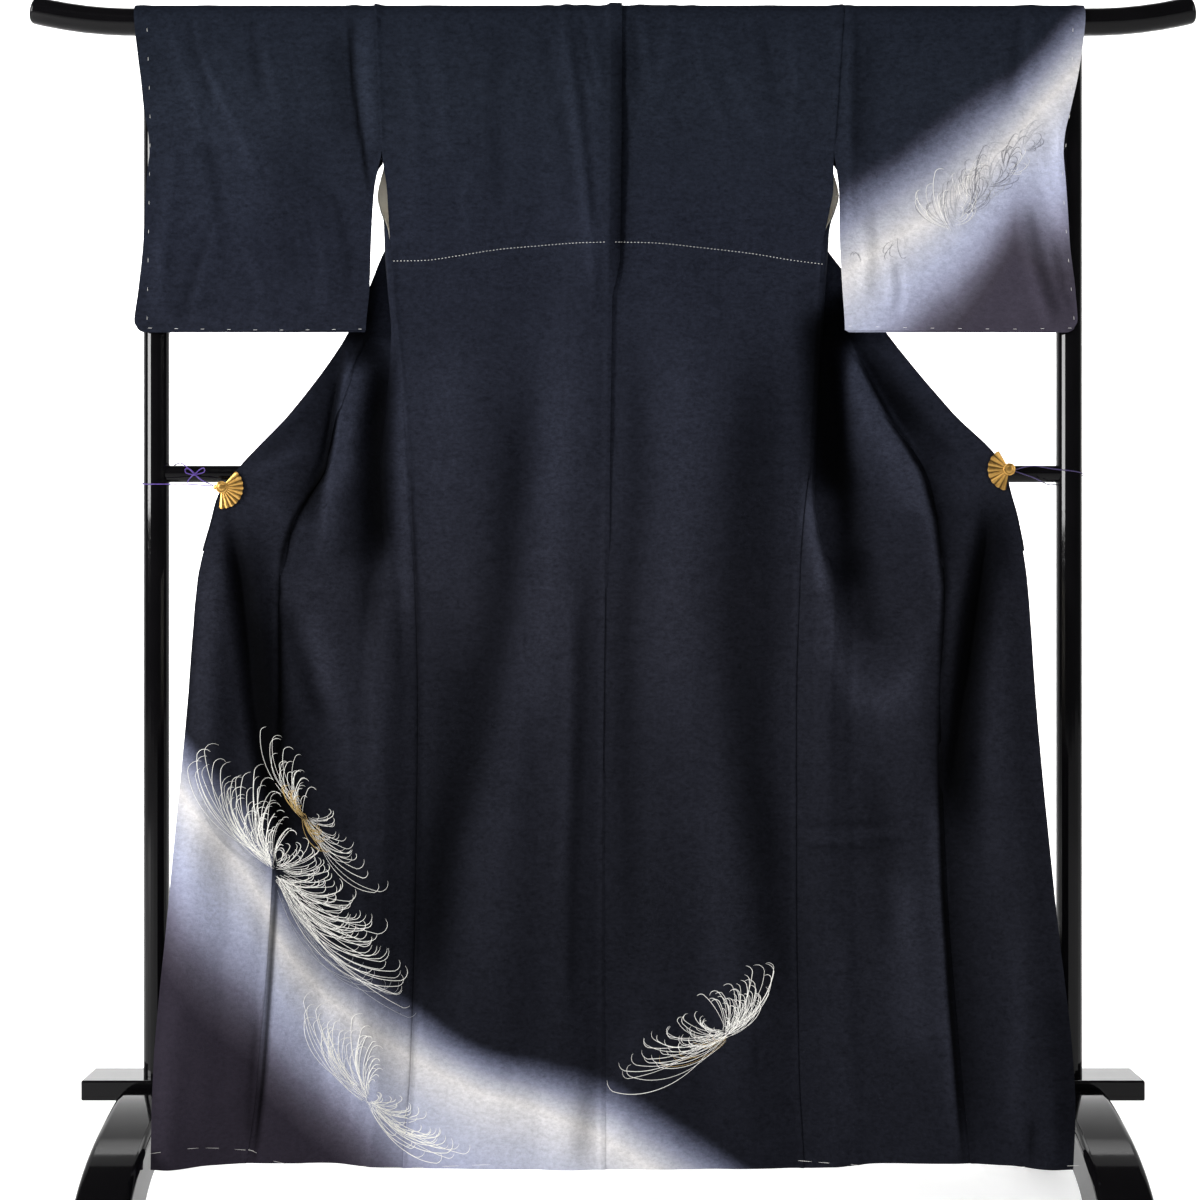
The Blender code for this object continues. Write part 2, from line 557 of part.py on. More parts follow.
def make_collar(side):
    """The half collar from the centre back round the neck and down the front edge, turned to the far side."""
    table = LEFT if side < 0 else RIGHT
    grid = []
    for x, height, depth, inner_x, inner_height in NECK[1:]:
        x += SEAM / 2
        inner_x += SEAM / 2
        row = []
        for share in (0.0, 0.03, 0.10, 0.5, 1.0):
            row.append(place(side * mix(x, inner_x, share), mix(height, inner_height, share), depth))
        grid.append(row)
    heights = [height for height in FRONT_ROWS if COLLAR_END <= height <= 1.600]
    edges = [Vector((read(table, "e", height), height)) for height in heights]
    for index, height in enumerate(heights):
        before = edges[max(index - 1, 0)]
        after = edges[min(index + 1, len(edges) - 1)]
        along = (after - before).normalized()
        inward = Vector((along.y, -along.x))
        edge = read(DEPTHS, "e", height)
        row = [Vector((side * (edges[index].x + 0.0016), edge - 0.0006, height)),
               Vector((side * (edges[index].x + 0.0018), edge + 0.0030, height))]
        for width in (0.0020, COLLAR_WIDTH / 2, COLLAR_WIDTH):
            spot = edges[index] + inward * width
            depth = lapel_depth(side, spot.x, spot.y) + COLLAR_LIFT
            row.append(Vector((side * spot.x, depth, spot.y)))
        grid.append(row)
    wall(f"collar_{side_name(side)}", grid, COLLAR / 2, -COLLAR / 2, side, "crepe", {})


def sleeve_grid(side):
    table = SLEEVE_LEFT if side < 0 else SLEEVE_RIGHT

    def point(layer, across, height):
        low = height <= SLEEVE_BOTTOM
        start = read(table, f"{layer}_in", height)
        if height >= 1.470:
            start = read(LEFT if side < 0 else RIGHT, "side", height) + SEAM + 0.0001
        x = mix(start, read(table, f"{layer}_out", height), across)
        inner = read(SLEEVE_DEPTHS, f"{layer}_in", height)
        outer = read(SLEEVE_DEPTHS, f"{layer}_out", height)
        share = min(1.0, (across / 0.9) ** 2.5) if layer == "far" else across
        corner = 0.010 if low and across == 1 else 0.0
        return place(side * (x - corner * 0.3), height + corner, mix(inner, outer, share))

    shares = [c / SLEEVE_COLUMNS for c in range(SLEEVE_COLUMNS + 1)]
    rows = [[point("near", share, height) for share in shares] for height in SLEEVE_ROWS]
    rows.append([place(point("near", share, RIDGE).x, RAIL_Z + DRAPE_RADIUS * math.pi / 2, DRAPE_RADIUS)
                 for share in shares])
    rows += [[point("far", share, height) for share in shares] for height in SLEEVE_FAR_ROWS]
    seam = [(a + b) / 2 - Vector((0, 0, 0.0022)) for a, b in zip(rows[0], rows[-1])]
    return rows + [seam]


def make_sleeve(side):
    """A sleeve folded over the rail: a tube that is closed along the bottom and open at both ends."""
    grid = sleeve_grid(side)
    rows = len(grid)
    columns = len(grid[0])
    wrapped = [grid[-1]] + grid + [grid[0]]
    outer = offset_grid(wrapped, CLOTH / 2, -side, {})[1:-1]
    inner = offset_grid(wrapped, -CLOTH / 2, -side, {})[1:-1]
    points = [point for row in outer for point in row] + [point for row in inner for point in row]
    shift = rows * columns
    faces = []
    for r in range(rows):
        below = (r + 1) % rows
        for c in range(columns - 1):
            a = r * columns + c
            b = below * columns + c
            faces.append((a, a + 1, b + 1, b))
            faces.append((a + shift, b + shift, b + 1 + shift, a + 1 + shift))
        a = r * columns
        b = below * columns
        faces.append((a, b, b + shift, a + shift))
        a += columns - 1
        b += columns - 1
        faces.append((a, a + shift, b + shift, b))
    add_mesh(f"sleeve_{side_name(side)}", points, faces, "crepe")


def rail_middle(x):
    """Height of the top rail's middle, whose ends curve up."""
    share = max(0.0, (abs(x) - RAIL_BEND_START) / (RAIL_HALF - RAIL_BEND_START))
    return RAIL_Z + RAIL_BEND_RISE * share**2.1


def make_top_rail():
    sides = 20
    straight = [-RAIL_BEND_START, RAIL_BEND_START]
    bends = [RAIL_BEND_START + (RAIL_HALF - 0.003 - RAIL_BEND_START) * i / 5 for i in range(1, 6)]
    stations = [(x, RAIL_RADIUS) for x in [-b for b in reversed(bends)] + straight + bends]
    end = RAIL_RADIUS - 0.003
    stations = [(-RAIL_HALF, end)] + stations + [(RAIL_HALF, end)]
    points = []
    for x, radius in stations:
        slope = (rail_middle(x + 0.0005) - rail_middle(x - 0.0005)) / 0.001
        lean = math.atan(slope)
        for i in range(sides):
            angle = 2 * math.pi * (i + 0.5) / sides
            up = radius * math.sin(angle)
            points.append((x - up * math.sin(lean) * 0.6, radius * math.cos(angle),
                           rail_middle(x) + up * math.cos(lean)))
    faces = []
    for s in range(len(stations) - 1):
        for i in range(sides):
            j = (i + 1) % sides
            a = s * sides
            faces.append((a + i, a + sides + i, a + sides + j, a + j))
    faces.append(tuple(range(sides)))
    last = (len(stations) - 1) * sides
    faces.append(tuple(reversed(range(last, last + sides))))
    add_mesh("top_rail", points, faces, "lacquer")


def cylinder(name, start, end, radius, kind, sides=24):
    """A straight round bar between two points."""
    axis = end - start
    turn = axis.to_track_quat("Z", "Y")
    points = []
    for base in (start, end):
        for i in range(sides):
            angle = 2 * math.pi * i / sides
            points.append(base + turn @ Vector((radius * math.cos(angle), radius * math.sin(angle), 0)))
    faces = [(i, (i + 1) % sides, sides + (i + 1) % sides, sides + i) for i in range(sides)]
    faces.append(tuple(reversed(range(sides))))
    faces.append(tuple(range(sides, 2 * sides)))
    return add_mesh(name, points, faces, kind)


def cut(obj, cutter):
    """Take the cutter's shape out of the object, and keep the cutter out of the model."""
    boolean = obj.modifiers.new("saddle", "BOOLEAN")
    boolean.operation = "DIFFERENCE"
    boolean.solver = "EXACT"
    boolean.object = cutter
    cutter.hide_render = True
    cutter.display_type = "WIRE"


def make_posts_and_mid_rail():
    over = cylinder("top_rail_cutter", Vector((-0.75, 0, RAIL_Z)), Vector((0.75, 0, RAIL_Z)),
                    RAIL_RADIUS + FIT, "lacquer", 40)
    mid = cylinder("mid_rail", Vector((-POST_X, 0, MID_RAIL_Z)), Vector((POST_X, 0, MID_RAIL_Z)),
                   MID_RAIL_RADIUS, "lacquer")
    for side in (-1, 1):
        foot = Vector((side * POST_X, 0, PLANK_TOP + FIT))
        head = Vector((side * POST_X, 0, RAIL_Z))
        post = cylinder(f"post_{side_name(side)}", foot, head, POST_RADIUS, "lacquer")
        cut(post, over)
        beside = cylinder(f"post_cutter_{side_name(side)}", Vector((side * POST_X, 0, 0.9)),
                          Vector((side * POST_X, 0, 1.15)), POST_RADIUS + FIT, "lacquer", 40)
        cut(mid, beside)


def make_plank():
    """The long base plank, with its long edges eased."""
    half = PLANK_DEPTH / 2
    ease = PLANK_EDGE
    profile = [(-half, PLANK_BOTTOM), (half, PLANK_BOTTOM), (half, PLANK_TOP - ease),
               (half - ease, PLANK_TOP), (-half + ease, PLANK_TOP), (-half, PLANK_TOP - ease)]
    points = [(x, y, z) for x in (-PLANK_HALF, PLANK_HALF) for y, z in profile]
    count = len(profile)
    faces = [(i, i + count, (i + 1) % count + count, (i + 1) % count) for i in range(count)]
    faces.append(tuple(range(count)))
    faces.append(tuple(reversed(range(count, 2 * count))))
    add_mesh("base_plank", points, faces, "lacquer")


def foot_profile():
    """The bridge foot from the side: a bow with a housing for the plank and an arch below."""
    housing = PLANK_DEPTH / 2 + FIT
    seat = PLANK_BOTTOM - FIT
    top = [(housing, seat), (housing, 0.172), (0.090, 0.168), (0.150, 0.157), (0.210, 0.142),
           (0.262, 0.122), (0.302, 0.098), (0.328, 0.070), (0.341, 0.038), (0.345, 0.000)]
    arch = []
    for step in range(9):
        angle = math.radians(90 * step / 8)
        arch.append((0.245 * math.cos(angle) ** 0.8, 0.105 * math.sin(angle) ** 0.8))
    right = top + arch
    left = [(-y, z) for y, z in reversed(right[:-1])]
    return right + left


def make_foot(side):
    profile = foot_profile()
    half = FOOT_WIDTH / 2
    points = [(side * FOOT_X + x, y, z) for x in (-half, half) for y, z in profile]
    count = len(profile)
    faces = [(i, (i + 1) % count, (i + 1) % count + count, i + count) for i in range(count)]
    faces += [tuple(range(count)), tuple(range(count, 2 * count))]
    add_mesh(f"foot_{side_name(side)}", points, faces, "lacquer", smooth=False)


def make_clip(side):
    name = side_name(side)
    clip = CLIPS[name]
    hub_x, hub_z = clip["hub"]
    ribs = clip["ribs"]
    steps = 2 * ribs
    points = []
    for layer in (-FAN_PLATE / 2, FAN_PLATE / 2):
        for radius in (FAN_ROOT, FAN_RADIUS):
            for i in range(steps + 1):
                angle = math.radians(clip["axis"] + clip["spread"] * (i / steps - 0.5))
                rim = radius + (0.0010 if i % 2 and radius > FAN_ROOT else 0.0)
                pleat = FAN_PLEAT * (-1 if i % 2 else 1) * radius / FAN_RADIUS
                points.append((hub_x + rim * math.cos(angle), FAN_Y + layer + pleat,
                               hub_z + rim * math.sin(angle)))
    row = steps + 1
    faces = []
    for i in range(steps):
        faces.append((i, row + i, row + i + 1, i + 1))
        faces.append((2 * row + i, 2 * row + i + 1, 3 * row + i + 1, 3 * row + i))
        faces.append((i, i + 1, 2 * row + i + 1, 2 * row + i))
        faces.append((row + i, 3 * row + i, 3 * row + i + 1, row + i + 1))
    faces.append((0, 2 * row, 3 * row, row))
    faces.append((steps, row + steps, 3 * row + steps, 2 * row + steps))
    add_mesh(f"clip_{name}_fan", points, faces, "gold", smooth=False)
    pleat = FAN_PLEAT * HUB_RADIUS / FAN_RADIUS
    front = Vector((hub_x, FAN_Y - FAN_PLATE / 2 - pleat - FIT, hub_z))
    cylinder(f"clip_{name}_hub", front, front - Vector((0, 0.0018, 0)), HUB_RADIUS, "gold")
    make_jaw(side, name, clip, hub_z)


def make_jaw(side, name, clip, hub_z):
    """The clip's spring: a bent plate round the cloth's edge, with the knob that the cord is tied to."""
    edge = clip["edge"]
    front = -0.0252
    back = -0.0174
    plate = 0.0012
    tip = edge - 0.016
    spine = edge + 0.0038
    outline = [(tip, front - plate), (spine + plate, front - plate), (spine + plate, back + plate),
               (tip, back + plate), (tip, back), (spine, back), (spine, front), (tip, front)]
    half = 0.005
    count = len(outline)
    points = [(side * (x + z * clip["slant"]), y, hub_z + z) for z in (-half, half) for x, y in outline]
    faces = [(i, (i + 1) % count, (i + 1) % count + count, i + count) for i in range(count)]
    faces.append(tuple(reversed(range(count))))
    faces.append(tuple(range(count, 2 * count)))
    add_mesh(f"clip_{name}_jaw", points, faces, "gold", smooth=False)
    make_knob(side, name, spine + plate + FIT + 0.0018 * abs(clip["slant"]), front, hub_z)


def make_knob(side, name, start, depth, height):
    """A small turned knob with a neck, lying along X."""
    profile = [(0.0, 0.0018), (0.0022, 0.0018), (0.0030, 0.0030), (0.0050, KNOB_RADIUS),
               (0.0070, 0.0028), (0.0080, 0.0012)]
    sides = 12
    points = []
    for x, radius in profile:
        for i in range(sides):
            angle = 2 * math.pi * i / sides
            points.append((side * (start + x), depth + radius * math.cos(angle),
                           height + radius * math.sin(angle)))
    faces = []
    for s in range(len(profile) - 1):
        for i in range(sides):
            j = (i + 1) % sides
            faces.append((s * sides + i, (s + 1) * sides + i, (s + 1) * sides + j, s * sides + j))
    faces.append(tuple(range(sides)))
    last = (len(profile) - 1) * sides
    faces.append(tuple(reversed(range(last, last + sides))))
    add_mesh(f"clip_{name}_knob", points, faces, "gold")


# Routes of the cords, as points (distance out, depth, height) from the knob, round the post and back.
CORD_LEFT = [(0.5553, -0.0252, 1.0050), (0.5850, -0.0250, 1.0075), (0.6120, -0.0225, 1.0080),
             (0.6387, -0.0197, 1.0082), (0.6527, -0.0139, 1.0085), (0.6585, 0.0000, 1.0100),
             (0.6527, 0.0139, 1.0140), (0.6387, 0.0197, 1.0210), (0.6240, 0.0170, 1.0320),
             (0.6110, 0.0080, 1.0385), (0.6010, -0.0060, 1.0372), (0.5900, -0.0150, 1.0290),
             (0.5740, -0.0210, 1.0150), (0.5553, -0.0226, 1.0062)]
CORD_RIGHT = [(0.5567, -0.0250, 1.0275), (0.5820, -0.0262, 1.0330), (0.6120, -0.0232, 1.0290),
              (0.6387, -0.0197, 1.0265), (0.6527, -0.0139, 1.0240), (0.6585, 0.0000, 1.0215),
              (0.6527, 0.0139, 1.0180), (0.6387, 0.0197, 1.0140), (0.6260, 0.0150, 1.0110),
              (0.6185, 0.0030, 1.0088), (0.6060, -0.0105, 1.0085), (0.5850, -0.0205, 1.0170),
              (0.5567, -0.0224, 1.0265)]


def smooth_route(route, steps):
    """Points along a curve through the route's own points."""
    points = []
    for i in range(len(route) - 1):
        p0 = route[max(i - 1, 0)]
        p1 = route[i]
        p2 = route[i + 1]
        p3 = route[min(i + 2, len(route) - 1)]
        for step in range(steps):
            t = step / steps
            points.append(0.5 * (2 * p1 + (p2 - p0) * t + (2 * p0 - 5 * p1 + 4 * p2 - p3) * t**2
                                 + (3 * p1 - p0 - 3 * p2 + p3) * t**3))
    points.append(route[-1])
    return points


def make_cord(side, route):
    name = f"cord_{side_name(side)}"
    route = [Vector((side * x, y, z)) for x, y, z in route]
    points = smooth_route(route, 3)
    curve = bpy.data.curves.new(name, "CURVE")
    curve.dimensions = "3D"
    curve.bevel_depth = CORD_RADIUS
    curve.bevel_resolution = 2
    curve.use_fill_caps = True
    spline = curve.splines.new("POLY")
    spline.points.add(len(points) - 1)
    for spot, point in zip(spline.points, points):
        spot.co = (*point, 1.0)
    obj = bpy.data.objects.new(name, curve)
    bpy.context.scene.collection.objects.link(obj)
    finish(obj, "cord")


def main():
    clear_scene()
    make_top_rail()
    make_posts_and_mid_rail()
    make_plank()
    for side in (-1, 1):
        make_foot(side)
        make_back(side)
        make_front(side)
        make_okumi(side)
        make_collar(side)
        make_sleeve(side)
        make_clip(side)
    make_cord(-1, CORD_LEFT)
    make_cord(1, CORD_RIGHT)


main()
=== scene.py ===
"""A lined tsukesage kimono, hung back to the viewer over a black lacquered kimono stand.

The cloth is one thin wall on each panel's form, with its creases placed one by one. The misted band and the
flower sprays lie on the cloth. Lengths are in metres, and x grows to the viewer's right, y away from the
viewer, z up.
"""

import math

import bpy
import numpy as np
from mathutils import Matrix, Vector
from mathutils.bvhtree import BVHTree


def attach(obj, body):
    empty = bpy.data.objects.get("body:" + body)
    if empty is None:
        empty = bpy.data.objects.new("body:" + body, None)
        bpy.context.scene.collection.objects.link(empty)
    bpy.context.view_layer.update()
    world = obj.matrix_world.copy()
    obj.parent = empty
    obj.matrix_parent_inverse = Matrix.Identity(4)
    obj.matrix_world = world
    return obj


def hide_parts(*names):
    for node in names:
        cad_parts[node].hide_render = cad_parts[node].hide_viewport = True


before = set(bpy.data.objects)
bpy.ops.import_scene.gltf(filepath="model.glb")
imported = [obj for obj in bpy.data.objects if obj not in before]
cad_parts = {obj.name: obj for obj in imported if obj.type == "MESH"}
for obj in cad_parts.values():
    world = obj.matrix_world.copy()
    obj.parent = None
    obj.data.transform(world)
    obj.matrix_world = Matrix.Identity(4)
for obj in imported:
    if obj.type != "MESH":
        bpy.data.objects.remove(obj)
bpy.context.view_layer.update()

# Camera: level, straight in front of the stand. One picture unit is 1.4 mm at the rail.
EYE = Vector((-0.018, -2.9, 0.847))
UNIT = 0.0014
LENS = 62.13
PICTURE_MIDDLE = 600

# Stand
RAIL_Z = 1.656
RAIL_RADIUS = 0.019
RAIL_HALF = 0.812
RAIL_BEND_START = 0.665
RAIL_BEND_RISE = 0.0175
POST_X = 0.6387
POST_RADIUS = 0.018
MID_RAIL_Z = 1.0234
MID_RAIL_RADIUS = 0.012
PLANK_HALF = 0.735
PLANK_DEPTH = 0.080
PLANK_BOTTOM = 0.155
PLANK_TOP = 0.183
FOOT_X = 0.642
FOOT_WIDTH = 0.072
FIT = 0.0003

# Cloth
CLOTH = 0.0012
LINING = 0.0010
COLLAR = 0.0016
COLLAR_WIDTH = 0.055
COLLAR_LIFT = 0.0046
SEAM = 0.0003
DRAPE_RADIUS = 0.0220
RIDGE = RAIL_Z + DRAPE_RADIUS * math.pi / 2 - 0.0004
COLLAR_END = 0.915
KENSAKI = 1.414
SIDE_SEAM_TOP = 1.344
SLEEVE_SEAM_END = 1.470
CLOSE_ROWS_END = 1.336
LOW_ROWS = 0.2
HEM = {"centre": 0.066, "side": 0.069, "okumi": 0.100, "edge": 0.108}

# Tables down the body, by height. s is the front's side edge, t the turn beside the side seam, f the inner
# fold, k the okumi seam and e the collar seam or front edge. DEPTHS says how far back each lies, BENDS how far
# the sides of a bend are from its turn or fold, and LEFT and RIGHT how far each lies from the middle.
DEPTHS = [
    ("height", "centre", "side", "s", "t1", "t", "t2", "f1", "f", "f2", "k", "e"),
    (RAIL_Z, -0.0220, -0.0220, 0.0220, 0.0220, 0.0220, 0.0220, 0.0220, 0.0220, 0.0220, 0.0220, 0.0220),
    (1.645, -0.0221, -0.0221, 0.0220, 0.0220, 0.0220, 0.0220, 0.0220, 0.0225, 0.0250, 0.0278, 0.0278),
    (1.632, -0.0222, -0.0222, 0.0220, 0.0220, 0.0220, 0.0220, 0.0220, 0.0232, 0.0265, 0.0305, 0.0305),
    (1.618, -0.0224, -0.0223, 0.0220, 0.0220, 0.0220, 0.0220, 0.0220, 0.0240, 0.0272, 0.0302, 0.0302),
    (1.600, -0.0228, -0.0225, 0.0220, 0.0220, 0.0220, 0.0220, 0.0220, 0.0250, 0.0280, 0.0280, 0.0280),
    (1.530, -0.0250, -0.0232, 0.0215, 0.0215, 0.0215, 0.0215, 0.0215, 0.0245, 0.0273, 0.0273, 0.0273),
    (1.470, -0.0268, -0.0235, 0.0185, 0.0188, 0.0190, 0.0192, 0.0196, 0.0226, 0.0257, 0.0257, 0.0257),
    (KENSAKI, -0.0285, -0.0238, 0.0120, 0.0140, 0.0145, 0.0150, 0.0170, 0.0202, 0.0235, 0.0235, 0.0235),
    (1.396, -0.0292, -0.0241, 0.0015, 0.0075, 0.0112, 0.0128, 0.0145, 0.0178, 0.0210, 0.0212, 0.0212),
    (1.379, -0.0298, -0.0243, -0.0100, -0.0020, 0.0065, 0.0112, 0.0120, 0.0152, 0.0185, 0.0188, 0.0190),
    (1.362, -0.0304, -0.0244, -0.0190, -0.0140, -0.0010, 0.0080, 0.0090, 0.0122, 0.0158, 0.0164, 0.0170),
    (1.344, -0.0310, -0.0245, -0.0245, -0.0225, -0.0080, 0.0050, 0.0060, 0.0095, 0.0130, 0.0140, 0.0150),
    (1.280, -0.0330, -0.0280, -0.0280, -0.0262, -0.0140, -0.0018, -0.0010, 0.0025, 0.0060, 0.0070, 0.0080),
    (1.221, -0.0350, -0.0320, -0.0320, -0.0303, -0.0200, -0.0086, -0.0080, -0.0045, -0.0010, 0.0, 0.0010),
    (1.110, -0.0390, -0.0370, -0.0370, -0.0356, -0.0275, -0.0193, -0.0190, -0.0157, -0.0125, -0.0130,
     -0.0170),
    (1.065, -0.0405, -0.0390, -0.0390, -0.0380, -0.0305, -0.0232, -0.0230, -0.0200, -0.0170, -0.0190,
     -0.0225),
    (1.030, -0.0415, -0.0405, -0.0405, -0.0402, -0.0335, -0.0267, -0.0265, -0.0233, -0.0200, -0.0212,
     -0.0240),
    (0.990, -0.0430, -0.0415, -0.0415, -0.0425, -0.0360, -0.0295, -0.0290, -0.0260, -0.0230, -0.0240,
     -0.0245),
    (0.960, -0.0435, -0.0420, -0.0420, -0.0445, -0.0385, -0.0325, -0.0315, -0.0287, -0.0260, -0.0280,
     -0.0265),
    (COLLAR_END, -0.0450, -0.0430, -0.0430, -0.0478, -0.0465, -0.0430, -0.0325, -0.0295, -0.0280, -0.0345,
     -0.0350),
    (0.870, -0.0460, -0.0440, -0.0440, -0.0480, -0.0510, -0.0500, -0.0430, -0.0385, -0.0390, -0.0440,
     -0.0460),
    (0.700, -0.0500, -0.0490, -0.0490, -0.0560, -0.0620, -0.0650, -0.0590, -0.0550, -0.0560, -0.0750,
     -0.0880),
    (0.450, -0.0550, -0.0560, -0.0560, -0.0640, -0.0720, -0.0780, -0.0750, -0.0710, -0.0730, -0.1120,
     -0.1480),
    (0.200, -0.0585, -0.0610, -0.0610, -0.0700, -0.0790, -0.0870, -0.0860, -0.0830, -0.0870, -0.1430,
     -0.2000),
    (0.060, -0.0600, -0.0630, -0.0630, -0.0720, -0.0820, -0.0910, -0.0910, -0.0880, -0.0920, -0.1540,
     -0.2150),
]
BENDS = [
    ("height", "t1", "t2", "f1", "f2"),
    (RAIL_Z, 0.0100, -0.0100, 0.0050, -0.0050),
    (1.645, 0.0100, -0.0100, 0.0060, -0.0035),
    (1.632, 0.0100, -0.0100, 0.0060, -0.0010),
    (1.618, 0.0100, -0.0100, 0.0050, 0.0010),
    (1.600, 0.0100, -0.0100, 0.0040, 0.0040),
    (KENSAKI, 0.0100, -0.0100, 0.0040, 0.0040),
    (1.396, 0.0075, -0.0080, 0.0040, 0.0040),
    (1.379, 0.0020, -0.0080, 0.0040, 0.0040),
    (1.362, -0.0010, -0.0055, 0.0040, 0.0040),
    (1.344, -0.0040, -0.0040, 0.0040, 0.0040),
    (0.960, -0.0040, -0.0040, 0.0040, 0.0040),
    (COLLAR_END, -0.0080, 0.0040, -0.0040, 0.0080),
    (0.870, -0.0120, 0.0120, -0.0120, 0.0120),
]
LEFT = [
    ("height", "side", "s", "t", "f", "k", "e"),
    (RIDGE, 0.3320, 0.3320, 0.3050, 0.0940, 0.0820, 0.0820),
    (RAIL_Z, 0.3302, 0.3302, 0.3050, 0.1120, 0.1000, 0.1000),
    (1.645, 0.3296, 0.3296, 0.3050, 0.1125, 0.1062, 0.1062),
    (1.632, 0.3290, 0.3290, 0.3050, 0.1130, 0.1120, 0.1120),
    (1.618, 0.3284, 0.3284, 0.3050, 0.1135, 0.1175, 0.1175),
    (1.600, 0.3275, 0.3275, 0.3050, 0.1120, 0.1310, 0.1310),
    (1.530, 0.3240, 0.3240, 0.3040, 0.1370, 0.1800, 0.1800),
    (1.470, 0.3211, 0.3211, 0.3030, 0.1520, 0.2230, 0.2230),
    (KENSAKI, 0.3137, 0.3310, 0.3050, 0.1650, 0.2585, 0.2630),
    (1.396, 0.3128, 0.3265, 0.3140, 0.1700, 0.2690, 0.2770),
    (1.379, 0.3118, 0.3200, 0.3185, 0.1755, 0.2790, 0.2900),
    (1.362, 0.3109, 0.3135, 0.3190, 0.1805, 0.2885, 0.3035),
    (1.344, 0.3100, 0.3100, 0.3185, 0.1860, 0.2970, 0.3160),
    (1.280, 0.3050, 0.3050, 0.3135, 0.1950, 0.3190, 0.3420),
    (1.221, 0.2990, 0.2990, 0.3080, 0.2070, 0.3430, 0.3680),
    (1.110, 0.2875, 0.2875, 0.3145, 0.2430, 0.3830, 0.4440),
    (1.030, 0.2812, 0.2812, 0.3224, 0.2630, 0.3980, 0.5175),
    (0.990, 0.2790, 0.2790, 0.3210, 0.2750, 0.4240, 0.5470),
    (0.960, 0.2775, 0.2775, 0.3198, 0.2860, 0.4420, 0.5550),
    (0.870, 0.2722, 0.2722, 0.3040, 0.3350, 0.4610, 0.5730),
    (0.700, 0.2680, 0.2680, 0.3000, 0.3450, 0.4560, 0.5785),
    (0.450, 0.2705, 0.2705, 0.3030, 0.3500, 0.4600, 0.5905),
    (0.200, 0.2773, 0.2773, 0.3090, 0.3580, 0.4750, 0.6015),
    (0.060, 0.2880, 0.2880, 0.3190, 0.3680, 0.4890, 0.6005),
]
RIGHT = [
    ("height", "side", "s", "t", "f", "k", "e"),
    (RIDGE, 0.3211, 0.3211, 0.2950, 0.0940, 0.0820, 0.0820),
    (RAIL_Z, 0.3189, 0.3189, 0.2950, 0.1120, 0.1000, 0.1000),
    (1.645, 0.3182, 0.3182, 0.2945, 0.1125, 0.1062, 0.1062),
    (1.632, 0.3174, 0.3174, 0.2940, 0.1130, 0.1120, 0.1120),
    (1.618, 0.3165, 0.3165, 0.2935, 0.1135, 0.1175, 0.1175),
    (1.600, 0.3152, 0.3152, 0.2930, 0.1120, 0.1280, 0.1280),
    (1.530, 0.3106, 0.3106, 0.2900, 0.1360, 0.1727, 0.1727),
    (1.500, 0.3086, 0.3086, 0.2890, 0.1440, 0.1920, 0.1920),
    (1.470, 0.3066, 0.3066, 0.2880, 0.1520, 0.2110, 0.2110),
    (KENSAKI, 0.3060, 0.3180, 0.2920, 0.1600, 0.2420, 0.2465),
    (1.396, 0.3025, 0.3125, 0.3000, 0.1605, 0.2510, 0.2590),
    (1.379, 0.2990, 0.3055, 0.3035, 0.1610, 0.2600, 0.2715),
    (1.362, 0.2955, 0.2965, 0.3015, 0.1620, 0.2685, 0.2835),
    (1.344, 0.2921, 0.2921, 0.3005, 0.1640, 0.2759, 0.2956),
    (1.280, 0.2870, 0.2870, 0.2955, 0.1730, 0.3032, 0.3425),
    (1.221, 0.2830, 0.2830, 0.2915, 0.1900, 0.3250, 0.3810),
    (1.110, 0.2770, 0.2770, 0.2855, 0.2150, 0.3750, 0.4680),
    (1.030, 0.2712, 0.2712, 0.2800, 0.2370, 0.4317, 0.5410),
    (0.990, 0.2665, 0.2665, 0.2785, 0.2470, 0.4440, 0.5520),
    (0.960, 0.2630, 0.2630, 0.2810, 0.2560, 0.4510, 0.5600),
    (0.870, 0.2565, 0.2565, 0.2920, 0.3240, 0.4569, 0.5710),
    (0.700, 0.2520, 0.2520, 0.2840, 0.3280, 0.4455, 0.5750),
    (0.450, 0.2515, 0.2515, 0.2840, 0.3300, 0.4500, 0.5865),
    (0.200, 0.2547, 0.2547, 0.2870, 0.3380, 0.4650, 0.6010),
    (0.060, 0.2615, 0.2615, 0.2940, 0.3450, 0.4744, 0.5939),
]
CENTRE_SEAM = [("height", "x"), (RIDGE, -0.001), (1.300, -0.004), (0.880, -0.010), (0.500, -0.014),
               (0.060, -0.015)]
# The collar's seam round the neck, and the collar's inner edge.
NECK = [
    ("x", "height", "depth", "inner_x", "inner_height"),
    (0.0000, RIDGE - 0.004, 0.0250, 0.0000, 1.6305),
    (0.0300, RIDGE - 0.004, 0.0250, 0.0220, 1.6300),
    (0.0550, RIDGE - 0.004, 0.0256, 0.0380, 1.6285),
    (0.0740, RIDGE - 0.007, 0.0268, 0.0460, 1.6265),
    (0.0880, RIDGE - 0.017, 0.0284, 0.0520, 1.6235),
    (0.1000, RAIL_Z, 0.0300, 0.0580, 1.6190),
    (0.1080, 1.645, 0.0316, 0.0630, 1.6120),
    (0.1150, 1.632, 0.0330, 0.0690, 1.6020),
    (0.1225, 1.618, 0.0338, 0.0760, 1.5900),
]
